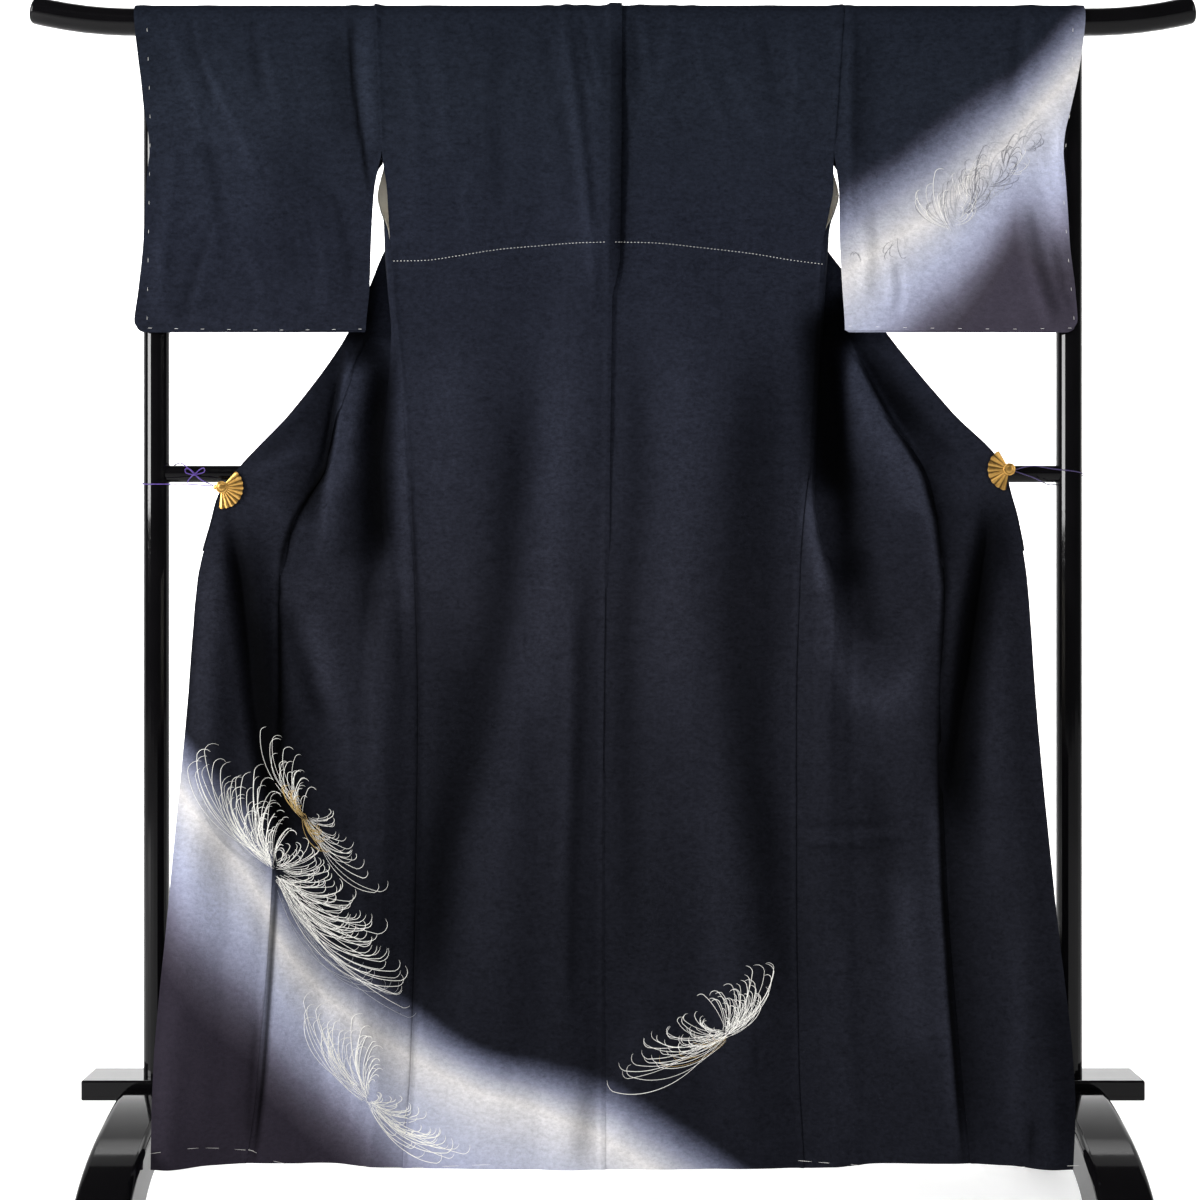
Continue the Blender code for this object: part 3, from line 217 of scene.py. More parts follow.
# The sleeves' inner and outer edges, on the near and the far side of the rail.
SLEEVE_BOTTOM = 1.2220
SLEEVE_CORNER = 0.016
SLEEVE_LEFT = [
    ("height", "near_in", "far_in", "near_out", "far_out"),
    (RIDGE, 0.3323, 0.3323, 0.6670, 0.6670),
    (RAIL_Z, 0.3305, 0.3305, 0.6655, 0.6640),
    (1.600, 0.3278, 0.3278, 0.6600, 0.6450),
    (1.570, 0.3263, 0.3263, 0.6560, 0.6220),
    (1.530, 0.3243, 0.3243, 0.6520, 0.6060),
    (1.490, 0.3224, 0.3224, 0.6450, 0.6030),
    (1.470, 0.3214, 0.3214, 0.6437, 0.6050),
    (1.450, 0.3255, 0.3320, 0.6460, 0.6120),
    (1.414, 0.3320, 0.3450, 0.6490, 0.6400),
    (1.344, 0.3360, 0.3460, 0.6523, 0.6510),
    (1.280, 0.3380, 0.3460, 0.6590, 0.6575),
    (SLEEVE_BOTTOM, 0.3430, 0.3470, 0.6660, 0.6640),
]
SLEEVE_RIGHT = [
    ("height", "near_in", "far_in", "near_out", "far_out"),
    (RIDGE, 0.3214, 0.3214, 0.6573, 0.6573),
    (RAIL_Z, 0.3192, 0.3192, 0.6565, 0.6550),
    (1.600, 0.3155, 0.3155, 0.6500, 0.6400),
    (1.570, 0.3136, 0.3136, 0.6450, 0.6220),
    (1.530, 0.3109, 0.3109, 0.6360, 0.6060),
    (1.490, 0.3082, 0.3082, 0.6270, 0.6020),
    (1.470, 0.3069, 0.3069, 0.6255, 0.6030),
    (1.450, 0.3100, 0.3170, 0.6270, 0.6080),
    (1.414, 0.3140, 0.3290, 0.6300, 0.6260),
    (1.344, 0.3150, 0.3320, 0.6345, 0.6330),
    (1.280, 0.3185, 0.3330, 0.6420, 0.6405),
    (SLEEVE_BOTTOM, 0.3220, 0.3340, 0.6460, 0.6440),
]
SLEEVE_DEPTHS = [
    ("height", "near_in", "near_out", "far_in", "far_out"),
    (RAIL_Z, -0.0220, -0.0220, 0.0220, 0.0220),
    (1.600, -0.0225, -0.0225, 0.0220, 0.0220),
    (1.570, -0.0228, -0.0226, 0.0218, 0.0216),
    (1.530, -0.0232, -0.0227, 0.0215, 0.0120),
    (1.490, -0.0235, -0.0228, 0.0200, -0.0060),
    (1.470, -0.0236, -0.0228, 0.0185, -0.0150),
    (1.450, -0.0238, -0.0227, 0.0175, -0.0198),
    (1.414, -0.0242, -0.0228, 0.0130, -0.0207),
    (1.344, -0.0250, -0.0229, 0.0000, -0.0208),
    (1.280, -0.0250, -0.0229, -0.0100, -0.0208),
    (SLEEVE_BOTTOM, -0.0245, -0.0229, -0.0170, -0.0208),
]
# Long soft folds, by how far across the panel they begin and end.
FOLDS = [
    ("panel", "across", "across_low", "half_width", "depth", "top", "bottom"),
    ("back_left", 0.10, 0.13, 0.22, 0.0060, 1.66, 0.90),
    ("back_left", 0.62, 0.50, 0.30, 0.0070, 1.45, -0.10),
    ("back_left", 0.20, 0.16, 0.20, 0.0080, 0.95, -0.15),
    ("back_right", 0.30, 0.34, 0.26, 0.0070, 1.50, -0.10),
    ("back_right", 0.78, 0.72, 0.24, 0.0060, 1.20, -0.12),
    ("front_left", 0.86, 0.80, 0.14, 0.0080, 0.88, -0.15),
    ("front_right", 0.84, 0.82, 0.15, 0.0090, 0.88, -0.15),
    ("okumi_left", 0.70, 0.78, 0.34, 0.0120, 0.98, -0.20),
    ("okumi_right", 0.66, 0.76, 0.34, 0.0120, 0.98, -0.20),
]

# Creases, by where they show in the picture: how far they stand out in mm (a valley is negative), their half
# widths in picture units to the left and to the right of their line, and the line from its upper end down.
CREASES = [
    # back, centre and top
    (1.6, 5, 3, [(610, 12), (610, 140), (607, 290)]),
    (-2.4, 4, 7, [(620, 12), (622, 120), (619, 292)]),
    (2.4, 12, 4, [(562, 14), (574, 90), (582, 160), (590, 232), (597, 312)]),
    (-1.4, 4, 4, [(571, 20), (582, 92), (590, 162), (596, 232)]),
    (-1.2, 7, 5, [(542, 10), (556, 80), (568, 150), (576, 220)]),
    (1.5, 3, 4, [(548, 8), (554, 62), (560, 110)]),
    (1.4, 4, 3, [(585, 8), (596, 58), (606, 100)]),
    (-1.3, 3, 3, [(578, 8), (586, 50), (594, 90)]),
    (1.4, 4, 4, [(641, 8), (648, 60), (652, 110)]),
    (-1.2, 4, 4, [(632, 8), (636, 60), (634, 100)]),
    (1.2, 5, 5, [(672, 8), (666, 50), (656, 110)]),
    (1.1, 6, 5, [(692, 8), (704, 74), (730, 140)]),
    (1.0, 7, 5, [(716, 20), (744, 100), (776, 156)]),
    (1.0, 10, 7, [(430, 10), (442, 90), (452, 170)]),
    (-1.0, 8, 8, [(500, 12), (494, 110), (500, 220)]),
    (1.0, 8, 6, [(404, 12), (412, 90), (416, 180), (412, 240)]),
    (1.0, 5, 5, [(470, 236), (462, 200), (474, 160)]),
    (1.2, 5, 4, [(790, 10), (796, 80), (790, 150)]),
    (-1.0, 5, 5, [(760, 10), (770, 70), (774, 120)]),
    # back, long soft folds
    (-2.8, 20, 18, [(526, 360), (520, 450), (505, 580), (488, 690), (468, 780), (446, 840), (432, 930),
                    (427, 1020)]),
    (2.4, 30, 26, [(560, 340), (552, 480), (536, 640), (512, 760), (490, 900), (480, 1010)]),
    (-1.8, 6, 8, [(590, 560), (583, 640), (580, 760), (574, 900), (572, 1040)]),
    (1.5, 7, 6, [(570, 560), (568, 760), (560, 900)]),
    (2.2, 34, 30, [(448, 330), (440, 480), (436, 620)]),
    (-1.6, 10, 14, [(634, 320), (640, 480), (626, 640), (628, 800), (632, 980)]),
    (2.4, 30, 34, [(700, 300), (690, 480), (684, 620), (700, 780), (716, 940), (720, 1160)]),
    (-2.2, 22, 20, [(760, 330), (742, 470), (730, 600), (744, 760), (757, 820), (770, 880), (782, 960),
                    (788, 1040)]),
    (1.6, 14, 12, [(784, 640), (780, 760), (786, 840)]),
    (-1.0, 2, 3, [(755, 1030), (756, 1082)]),
    (1.6, 14, 12, [(640, 1010), (620, 1090), (612, 1160)]),
    (-1.3, 10, 10, [(592, 1060), (584, 1120), (580, 1165)]),
    (0.8, 30, 3, [(640, 805), (672, 804), (720, 806)]),
    # left sleeve
    (1.7, 7, 3, [(192, 10), (206, 60), (228, 110), (252, 156), (262, 190)]),
    (-1.5, 4, 4, [(186, 12), (198, 62), (216, 110)]),
    (1.4, 5, 3, [(166, 10), (176, 50), (192, 92), (206, 150)]),
    (-1.6, 7, 8, [(204, 130), (212, 172), (220, 216), (222, 250)]),
    (1.6, 8, 5, [(174, 130), (170, 200), (160, 270), (156, 320)]),
    (1.4, 6, 5, [(228, 206), (206, 262), (190, 326)]),
    (-1.4, 5, 6, [(212, 226), (192, 276), (178, 326)]),
    (1.2, 5, 5, [(152, 230), (166, 280), (160, 326)]),
    (1.6, 8, 5, [(312, 186), (320, 230), (326, 270), (322, 318)]),
    (-1.4, 5, 5, [(330, 186), (342, 226), (348, 262), (346, 300)]),
    (1.2, 3, 3, [(300, 196), (304, 230), (314, 262)]),
    (1.1, 3, 3, [(292, 210), (298, 240), (308, 270)]),
    (1.2, 5, 4, [(262, 10), (268, 60), (282, 110)]),
    (-1.1, 5, 4, [(248, 10), (256, 60), (262, 100)]),
    (1.2, 5, 5, [(250, 250), (262, 290), (256, 328)]),
    (1.0, 20, 3, [(160, 318), (230, 316), (300, 318)]),
    (1.6, 8, 8, [(363, 8), (366, 73), (370, 116), (374, 150)]),
    (-2.2, 2.5, 2.5, [(350, 8), (352, 73), (357, 116), (363, 150), (370, 200)]),
    # right sleeve
    (1.7, 4, 4, [(849, 8), (848, 120), (850, 240)]),
    (-1.6, 3, 4, [(857, 10), (857, 120), (858, 180)]),
    (-2.4, 7, 5, [(1028, 200), (1036, 240), (1048, 285), (1062, 324)]),
    (2.2, 8, 8, [(1060, 110), (1058, 170), (1064, 220), (1070, 250)]),
    (1.8, 6, 6, [(1026, 240), (1038, 292), (1052, 328)]),
    (-1.5, 4, 4, [(1054, 240), (1064, 290), (1074, 320)]),
    (1.2, 5, 5, [(1040, 150), (1048, 190), (1062, 236)]),
    (1.3, 4, 4, [(884, 252), (890, 280), (886, 312)]),
    (-1.2, 4, 4, [(892, 256), (898, 284), (894, 314)]),
    (1.2, 4, 3, [(903, 262), (906, 290), (902, 322)]),
    (1.3, 5, 4, [(858, 216), (864, 250), (862, 300)]),
    (-1.1, 5, 5, [(870, 200), (874, 250), (872, 300)]),
    (1.2, 5, 5, [(1034, 8), (1030, 60), (1020, 110)]),
    (-1.1, 5, 5, [(1020, 8), (1014, 60), (1004, 110)]),
    # left front and okumi
    (10.0, 2.5, 27, [(348, 336), (339, 395), (331, 453), (326, 500), (321, 560)]),
    (-4.0, 4, 6, [(345, 360), (335, 400), (325, 452), (306, 500)]),
    (-7.0, 12, 11, [(383, 372), (375, 411), (370, 440), (369, 473), (371, 520), (372, 570), (371, 640)]),
    (-2.6, 5, 4, [(330, 458), (308, 500), (290, 536), (284, 572)]),
    (-3.6, 8, 4, [(276, 572), (283, 590), (272, 612)]),
    (-13.0, 6, 7, [(228, 506), (233, 540), (237, 580), (243, 630), (249, 690), (256, 735), (264, 775),
                   (277, 805), (292, 838), (301, 866)]),
    (5.0, 8, 13, [(236, 508), (252, 560), (262, 610), (270, 680), (278, 740), (296, 790)]),
    (4.0, 14, 14, [(220, 524), (214, 600), (210, 690), (214, 780), (226, 850)]),
    (-2.6, 8, 9, [(284, 596), (296, 640), (312, 690), (330, 730)]),
    (3.2, 15, 18, [(300, 606), (322, 650), (344, 720), (356, 800)]),
    (1.8, 5, 6, [(372, 660), (376, 720), (374, 790)]),
    (1.5, 3, 3, [(284, 581), (308, 583), (330, 588)]),
    (-1.4, 3, 3, [(284, 588), (308, 590), (330, 594)]),
    (-1.4, 3, 3, [(366, 591), (390, 592), (413, 587)]),
    (-1.2, 3, 3, [(392, 614), (413, 613)]),
    (2.0, 7, 7, [(326, 446), (300, 452), (272, 462), (248, 476)]),
    (-1.8, 8, 8, [(318, 404), (288, 436), (256, 464)]),
    (1.8, 7, 7, [(288, 524), (268, 502), (248, 490)]),
    (1.6, 12, 16, [(214, 860), (206, 960), (196, 1060), (192, 1150)]),
    (-1.6, 3, 5, [(258, 1010), (252, 1080), (247, 1150)]),
    (1.8, 14, 18, [(330, 900), (332, 1010), (340, 1160)]),
    (-1.5, 14, 14, [(384, 860), (374, 960), (370, 1100)]),
    (1.4, 3, 3, [(380, 832), (414, 826)]),
    (-1.2, 3, 3, [(376, 846), (412, 842)]),
    # right front and okumi
    (8.0, 36, 3, [(848, 332), (861, 372), (878, 402), (905, 447), (925, 483), (933, 523)]),
    (-3.4, 3, 16, [(856, 338), (872, 370), (892, 404), (916, 440)]),
    (-9.5, 9, 11, [(826, 328), (829, 380), (837, 430), (845, 475), (847, 520), (848, 560)]),
    (3.8, 7, 5, [(810, 470), (814, 515), (821, 556), (831, 588)]),
    (4.6, 13, 14, [(822, 572), (833, 620), (846, 668), (862, 700), (884, 702), (908, 682), (926, 645),
                   (934, 608)]),
    (-3.0, 18, 18, [(852, 540), (862, 600), (874, 650)]),
    (-13.0, 7, 6, [(990, 505), (985, 545), (979, 590), (972, 640), (965, 690), (957, 750), (952, 800)]),
    (5.0, 13, 8, [(982, 508), (966, 560), (955, 630), (948, 700)]),
    (4.2, 12, 15, [(1001, 524), (1000, 600), (992, 700), (990, 800), (996, 900)]),
    (1.5, 3, 3, [(803, 592), (815, 587), (829, 588)]),
    (-1.5, 3, 3, [(805, 634), (818, 629), (833, 633)]),
    (-1.6, 4, 4, [(798, 822), (850, 827), (905, 816)]),
    (1.8, 4, 5, [(798, 836), (850, 838), (910, 828)]),
    (-1.6, 4, 4, [(798, 848), (845, 850), (912, 838)]),
    (1.8, 14, 16, [(830, 900), (842, 1000), (846, 1150)]),
    (2.2, 20, 20, [(900, 860), (916, 960), (930, 1070)]),
    (-1.6, 14, 14, [(870, 760), (884, 860), (886, 960)]),
    (-1.6, 4, 3, [(946, 880), (956, 1000), (964, 1100), (971, 1160)]),
    (-2.4, 4, 4, [(1033, 1118), (1031, 1165)]),
    (2.0, 12, 10, [(1018, 900), (1020, 1020), (1012, 1160)]),
    (1.6, 10, 10, [(1050, 1060), (1052, 1165)]),
    (1.5, 10, 6, [(920, 470), (950, 482), (975, 488)]),
    (-1.6, 10, 8, [(884, 380), (930, 430), (966, 462)]),
]

# Broad painted shadows in the hollows of the cloth and painted light on its swells, laid into its colour, by
# share and place in the same way.
PAINTED_SHADOWS_AND_LIGHT = [
    (-3.8, 20, 15, [(824, 300), (827, 344), (829, 409), (834, 457), (840, 500)]),
    (-1.2, 15, 17, [(843, 462), (848, 500), (851, 560), (848, 600)]),
    (-2.4, 14, 12, [(384, 345), (380, 409), (378, 460), (380, 520), (378, 570)]),
    (-2.2, 24, 14, [(360, 262), (362, 300), (362, 336), (370, 372)]),
    (-2.2, 14, 26, [(846, 290), (838, 330), (836, 350)]),
    (-1.9, 13, 20, [(231, 516), (241, 560), (251, 620), (260, 690), (268, 750), (278, 810), (288, 860)]),
    (-0.9, 16, 22, [(258, 600), (266, 660), (274, 730), (284, 800), (292, 850)]),
    (-1.8, 20, 19, [(995, 492), (990, 545), (979, 600), (967, 660), (957, 737), (951, 830)]),
    (-0.5, 16, 20, [(982, 560), (970, 660), (966, 760), (970, 860)]),
    (-1.1, 26, 4, [(345, 345), (334, 415), (324, 470), (310, 530)]),
    (0.55, 3, 18, [(350, 336), (342, 400), (334, 453), (328, 500)]),
    (-0.6, 14, 18, [(354, 470), (352, 520), (346, 570)]),
    (0.50, 9, 8, [(401, 352), (402, 440), (404, 540), (406, 640)]),
    (0.42, 26, 4, [(850, 344), (864, 384), (890, 424), (916, 470), (930, 530)]),
    (-0.8, 4, 20, [(858, 340), (876, 372), (900, 410), (924, 456), (938, 520), (944, 600)]),
    (0.60, 9, 8, [(808, 490), (811, 540), (822, 580), (832, 600)]),
    (0.34, 26, 24, [(826, 596), (850, 676), (890, 706), (926, 660)]),
    (0.15, 14, 12, [(205, 560), (198, 640), (196, 740)]),
    (-0.5, 8, 4, [(196, 600), (190, 660), (184, 740)]),
    (-0.5, 26, 20, [(470, 620), (450, 760), (440, 880), (434, 1000)]),
    (0.20, 40, 40, [(560, 300), (556, 480), (540, 640), (530, 760)]),
    (0.20, 44, 40, [(690, 260), (684, 400), (676, 560), (660, 760)]),
    (-0.5, 26, 16, [(776, 340), (764, 480), (760, 620), (768, 760), (776, 900)]),
    (0.30, 30, 24, [(900, 860), (904, 960), (910, 1060)]),
    (-1.6, 3, 3.5, [(852, 344), (892, 424), (921, 468), (937, 519), (945, 583), (942, 640), (939, 707)]),
    (0.45, 9, 2, [(847, 350), (887, 428), (916, 472), (932, 522), (940, 585), (937, 640)]),
    (-1.3, 3.5, 3, [(337, 411), (327, 468), (308, 497), (294, 518), (283, 551), (279, 583)]),
    (-1.2, 3, 3, [(279, 575), (280, 640), (281, 707), (279, 800), (277, 880)]),
    (-0.8, 1.8, 1.8, [(405, 410), (412, 500), (416, 583), (418, 707), (416, 889), (411, 1072), (403, 1174)]),
    (-2.2, 2.5, 3, [(939, 690), (940, 800), (943, 891), (950, 1000), (957, 1085), (964, 1172)]),
    (-0.8, 3, 24, [(944, 740), (946, 891), (954, 1000), (962, 1085), (970, 1168)]),
    (0.55, 12, 2.5, [(936, 740), (939, 891), (946, 1000), (953, 1085), (960, 1168)]),
    (-2.0, 2.5, 2.5, [(278, 860), (276, 891), (270, 985), (263.5, 1076), (254, 1162)]),
    (-0.3, 20, 3, [(272, 891), (266, 985), (259, 1076), (249, 1156)]),
    (-0.5, 30, 12, [(1062, 980), (1072, 1060), (1074, 1160)]),
    (-0.5, 10, 16, [(612, 10), (614, 140), (613, 290)]),
    (0.25, 12, 10, [(592, 40), (596, 160), (600, 280)]),
    (-0.35, 14, 14, [(334, 24), (342, 90), (352, 150)]),
    (-0.3, 12, 14, [(866, 30), (862, 120), (860, 170)]),
    (0.22, 9, 9, [(363, 8), (366, 80), (371, 130), (376, 160)]),
    (-1.1, 2.2, 2.2, [(350, 8), (352, 73), (357, 116), (363, 150), (369, 196)]),
    (0.22, 20, 26, [(300, 560), (310, 640), (330, 720)]),
    (-0.3, 30, 30, [(318, 880), (330, 950), (350, 1000)]),
    (0.20, 60, 60, [(180, 60), (220, 150), (240, 250)]),
    (-0.25, 30, 30, [(280, 120), (300, 200), (296, 290)]),
]

# Where the cloth rides up over the rail: place in the picture, half width, height in mm.
GATHERS = [
    ("x", "half_width", "height"),
    (138, 6, 0.9), (204, 9, 0.5), (352, 5, 1.2), (376, 4, 1.4), (430, 12, 0.5), (548, 6, 1.1), (566, 5, 1.6),
    (585, 5, 1.2), (611, 5, 2.2), (641, 6, 1.5), (672, 7, 1.1), (692, 6, 0.9), (770, 12, 0.5),
    (838, 4, 1.3), (850, 5, 1.0), (1034, 9, 1.3), (1080, 4, 0.8),
]

# The misted bands: heights, in the picture, of the upper edge, the brightest line and the lower edge.
OKUMI_BAND = [
    (130, 664, 734, 918), (160, 706, 774, 960), (186, 735, 805, 990), (200, 747, 821, 1008),
    (214, 762, 838, 1025), (230, 780, 857, 1040), (245, 797, 874, 1050), (256, 812, 890, 1060),
    (275, 836, 914, 1082), (300, 866, 944, 1110),
]
HEM_BAND = [
    (230, 800, 874, 1046), (252, 830, 903, 1076), (270, 853, 925, 1096), (290, 879, 950, 1114),
    (310, 900, 972, 1136), (330, 930, 996, 1148), (350, 950, 1012, 1164), (378, 968, 1034, 1204),
    (400, 986, 1050, 1240), (440, 1014, 1073, 1290), (480, 1036, 1092, 1330), (530, 1053, 1108, 1350),
    (580, 1064, 1127, 1370), (620, 1080, 1150, 1380), (664, 1106, 1174, 1390), (700, 1128, 1196, 1400),
    (735, 1148, 1218, 1410), (770, 1172, 1244, 1430), (860, 1260, 1330, 1500),
]
# At the sleeve's right end the band's lower edge lies further down: painted light on the sleeve's right edge.
SLEEVE_BAND = [
    (835, 180, 284, 500), (850, 170, 268, 480), (870, 158, 254, 450), (899, 140, 233, 396),
    (935, 112, 210, 356), (960, 93, 187, 342), (988, 73, 160, 306), (1019, 56, 131, 258),
    (1053, 20, 96, 296), (1075, -2, 73, 296), (1090, -16, 58, 280),
]

# Where the sleeves end in the picture, and the picture itself.
SLEEVE_FOOT = 330
PICTURE_FOOT = 1200

# The painted shade that a valley and the painted light that a ridge lay into the cloth's colour, to each mm
# that it stands out or in; fine creases carry more of it.
RIDGE_LIGHT = 0.05
VALLEY_SHADE = 0.09
DEEPEST_SHADE = -0.6
FINE_CREASE = 3.5
FINE_GAIN = 2.6
DARKEST = -0.96
LIGHTEST = 0.9

# How deep a valley may be at each height before the cloth would meet what is behind it, and the same for the
# back's width low down, where the base plank is close behind.
ROOM = ((0.0, 0.15, 0.19, 0.25, 0.93, 0.975, 1.0, 1.045, 1.08, 1.18, 1.215, 1.7),
        (0.010, 0.008, 0.008, 0.012, 0.016, 0.014, 0.0045, 0.0045, 0.010, 0.010, 0.0012, 0.0012))
BACK_HALF = 0.31
BACK_ROOM = ((0.2, 0.25), (0.0045, 0.010))

# Colours as they show, in 0 to 255.
CREPE = (33, 35, 43)
PLUM = (46, 42, 51)
SILK = (226, 221, 209)


def rgb(colour):
    """A shown colour as the linear values that a shader takes."""
    shares = [value / 255 for value in colour]
    return tuple(s / 12.92 if s <= 0.04045 else ((s + 0.055) / 1.055) ** 2.4 for s in shares) + (1.0,)


def mix(low, high, share):
    return low + (high - low) * share


def bent(t, start, end, leaving, arriving):
    """The place a share t of the way along a curve with these slopes at its two ends."""
    return ((2 * t**3 - 3 * t**2 + 1) * start + (3 * t**2 - 2 * t**3) * end
            + (t**3 - 2 * t**2 + t) * leaving + (t**3 - t**2) * arriving)


def read(table, column, height):
    """The column's value at this height, along a curve through the table's rows that never overshoots."""
    index = table[0].index(column)
    rows = table[1:]
    heights = [row[0] for row in rows]
    values = [row[index] for row in rows]
    if height >= heights[0]:
        return values[0]
    if height <= heights[-1]:
        return values[-1]
    lower = next(i for i, value in enumerate(heights) if value <= height)
    upper = lower - 1

    def step(i):
        return (values[i + 1] - values[i]) / (heights[i + 1] - heights[i])

    def slope(i):
        if i == 0 or i == len(values) - 1:
            return 0.0
        before = step(i - 1)
        after = step(i)
        return 0.0 if before * after <= 0 else 2 * before * after / (before + after)

    span = heights[lower] - heights[upper]
    t = (height - heights[upper]) / span
    return bent(t, values[upper], values[lower], span * slope(upper), span * slope(lower))


def linked(name, data):
    """A new object in the scene."""
    obj = bpy.data.objects.new(name, data)
    bpy.context.scene.collection.objects.link(obj)
    return obj


def side_name(side):
    return "left" if side < 0 else "right"


def body_table(side):
    return LEFT if side < 0 else RIGHT


# Surfaces


def seen(px, py, depth=-0.035):
    """The place at this depth that shows at this point of the picture."""
    scale = UNIT * (depth - EYE.y) / -EYE.y
    return EYE.x + (px - PICTURE_MIDDLE) * scale, EYE.z - (py - PICTURE_MIDDLE) * scale


def in_picture(x, y, z):
    """The points of the picture at which these places show."""
    scale = UNIT * (y - EYE.y) / -EYE.y
    return PICTURE_MIDDLE + (x - EYE.x) / scale, PICTURE_MIDDLE - (z - EYE.z) / scale


def waves(x, z, seed, longest, shortest, upright, count=26):
    """Slow uneven waves between -1 and 1, longer along z when upright is above 1."""
    chance = np.random.default_rng(seed)
    total = np.zeros_like(x)
    for _ in range(count):
        length = longest * (shortest / longest) ** chance.random()
        turn = chance.random() * 2 * math.pi
        kx = math.cos(turn) * 2 * math.pi / length
        kz = math.sin(turn) * 2 * math.pi / length / upright
        total += np.sin(kx * x + kz * z + chance.random() * 2 * math.pi) * length / longest
    return total / count**0.5 / 0.6


def crease(px, py, left, right, line):
    """1 on the crease's line, falling to 0 at its sides and its two ends."""
    line = np.array(line, dtype=float)
    steps = np.diff(line, axis=0)
    lengths = np.hypot(*steps.T)
    starts = np.concatenate([[0], np.cumsum(lengths)])
    best = np.full_like(px, 1e9)
    aside = np.zeros_like(px)
    along = np.zeros_like(px)
    for (x0, y0), (dx, dy), length, start in zip(line, steps, lengths, starts):
        share = np.clip(((px - x0) * dx + (py - y0) * dy) / length**2, 0, 1)
        distance = np.hypot(px - x0 - share * dx, py - y0 - share * dy)
        nearer = distance < best
        best = np.where(nearer, distance, best)
        aside = np.where(nearer, (px - x0) * dy - (py - y0) * dx, aside)
        along = np.where(nearer, start + share * length, along)
    width = np.where(aside > 0, right, left)
    end = 0.22 * starts[-1] + 4
    fade = np.clip(along / end + 0.15, 0, 1) * np.clip((starts[-1] - along) / end + 0.15, 0, 1)
    return fade * fade * (3 - 2 * fade) * np.exp(-((best / width) ** 2))


def relief(x, y, z):
    """How far the cloth stands out towards the viewer here beyond the panel's form."""
    px, py = in_picture(x, y, z)
    total = 0.0011 * waves(x, z, 3, 0.30, 0.09, 2.6) + 0.0003 * waves(x, z, 8, 0.06, 0.02, 1.3)
    from_clip = np.minimum(*(np.hypot(x - clip["hub"][0], z - clip["hub"][1]) for clip in CLIPS.values()))
    ridge_share = np.clip((from_clip - 0.034) / 0.05, 0, 1)
    valley_share = np.clip((from_clip - 0.018) / 0.02, 0, 1)
    for depth, left, right, line in CREASES:
        share = ridge_share if depth > 0 else valley_share
        total += 0.001 * depth * crease(px, py, left, right, line) * share
    room = np.where(np.abs(x) < BACK_HALF, np.interp(z, *BACK_ROOM), np.interp(z, *ROOM))
    total = np.where(total < 0, -room * np.tanh(-total / room), total)
    return total * np.clip((RAIL_Z + 0.005 - z) / 0.06, 0, 1)


def paint_fold_shade_and_light(obj):
    """Keep on each point of the cloth the painted shade of its hollow and the painted light of its swell."""
    points = np.empty(len(obj.data.vertices) * 3)
    obj.data.vertices.foreach_get("co", points)
    px, py = in_picture(*points.reshape(-1, 3).T)
    total = np.zeros_like(px)
    lowest = SLEEVE_FOOT if obj.name.startswith("sleeve") else PICTURE_FOOT
    shades = []
    for depth, *rest in CREASES:
        share = RIDGE_LIGHT * depth if depth > 0 else max(VALLEY_SHADE * depth, DEEPEST_SHADE)
        shades.append((share * (FINE_GAIN if abs(depth) < FINE_CREASE else 1.0), *rest))
    for share, left, right, line in shades + PAINTED_SHADOWS_AND_LIGHT:
        if max(y for _, y in line) <= lowest:
            total += share * crease(px, py, left, right, line)
    keep_painted_shade_and_light(obj, np.clip(np.exp(total) - 1, DARKEST, LIGHTEST).astype(np.float32))


def keep_painted_shade_and_light(obj, shares):
    obj.data.attributes.new("hollow", "FLOAT", "POINT").data.foreach_set("value", shares)


def place(x, height, depth):
    """A point of cloth that hangs at this depth, and bends over the rail above its middle."""
    if height <= RAIL_Z:
        return (x, depth, height)
    turn = (height - RAIL_Z) / DRAPE_RADIUS
    return (x, depth * math.cos(turn), RAIL_Z + abs(depth) * math.sin(turn))


def fold_depth(panel, across, height):
    """How far the panel's soft folds stand out towards the viewer here."""
    total = 0.0
    for name, start, end, half_width, depth, top, bottom in FOLDS[1:]:
        if name != panel or not bottom < height < top:
            continue
        along = (top - height) / (top - bottom)
        offset = (across - mix(start, end, along)) / half_width
        if abs(offset) < 1:
            fade = min(1.0, 4.0 * along, 4.0 * (1 - along))
            total += depth * fade * math.cos(offset * math.pi / 2) ** 2
    return total


def levels(top, bottom_rows=9):
    """(height, share of the way from the low rows down to the hem) of each row of a panel, from its top."""
    rows = [(RIDGE - (RIDGE - RAIL_Z) * i / 7, 0.0) for i in range(7)]
    rows += [(height, 0.0) for height in np.arange(RAIL_Z, CLOSE_ROWS_END, -0.008)]
    rows += [(height, 0.0) for height in np.arange(1.328, LOW_ROWS + 0.005, -0.0105)]
    rows += [(LOW_ROWS, i / bottom_rows) for i in range(bottom_rows + 1)]
    return [(float(height), share) for height, share in rows if height <= top + 1e-6]


def level_height(level, start, end, across):
    height, share = level
    return height if share == 0 else mix(height, mix(HEM[start], HEM[end], across), share)


def back_point(side, across, level):
    table = body_table(side)
    z = level_height(level, "centre", "side", across)
    seam = read(CENTRE_SEAM, "x", z) + side * JOIN / 2
    x = mix(seam, side * (read(table, "side", z) - JOIN / 2), across)
    depth = mix(read(DEPTHS, "centre", z), read(DEPTHS, "side", z), across)
    return place(x, z, depth - fold_depth(f"back_{side_name(side)}", across, z))


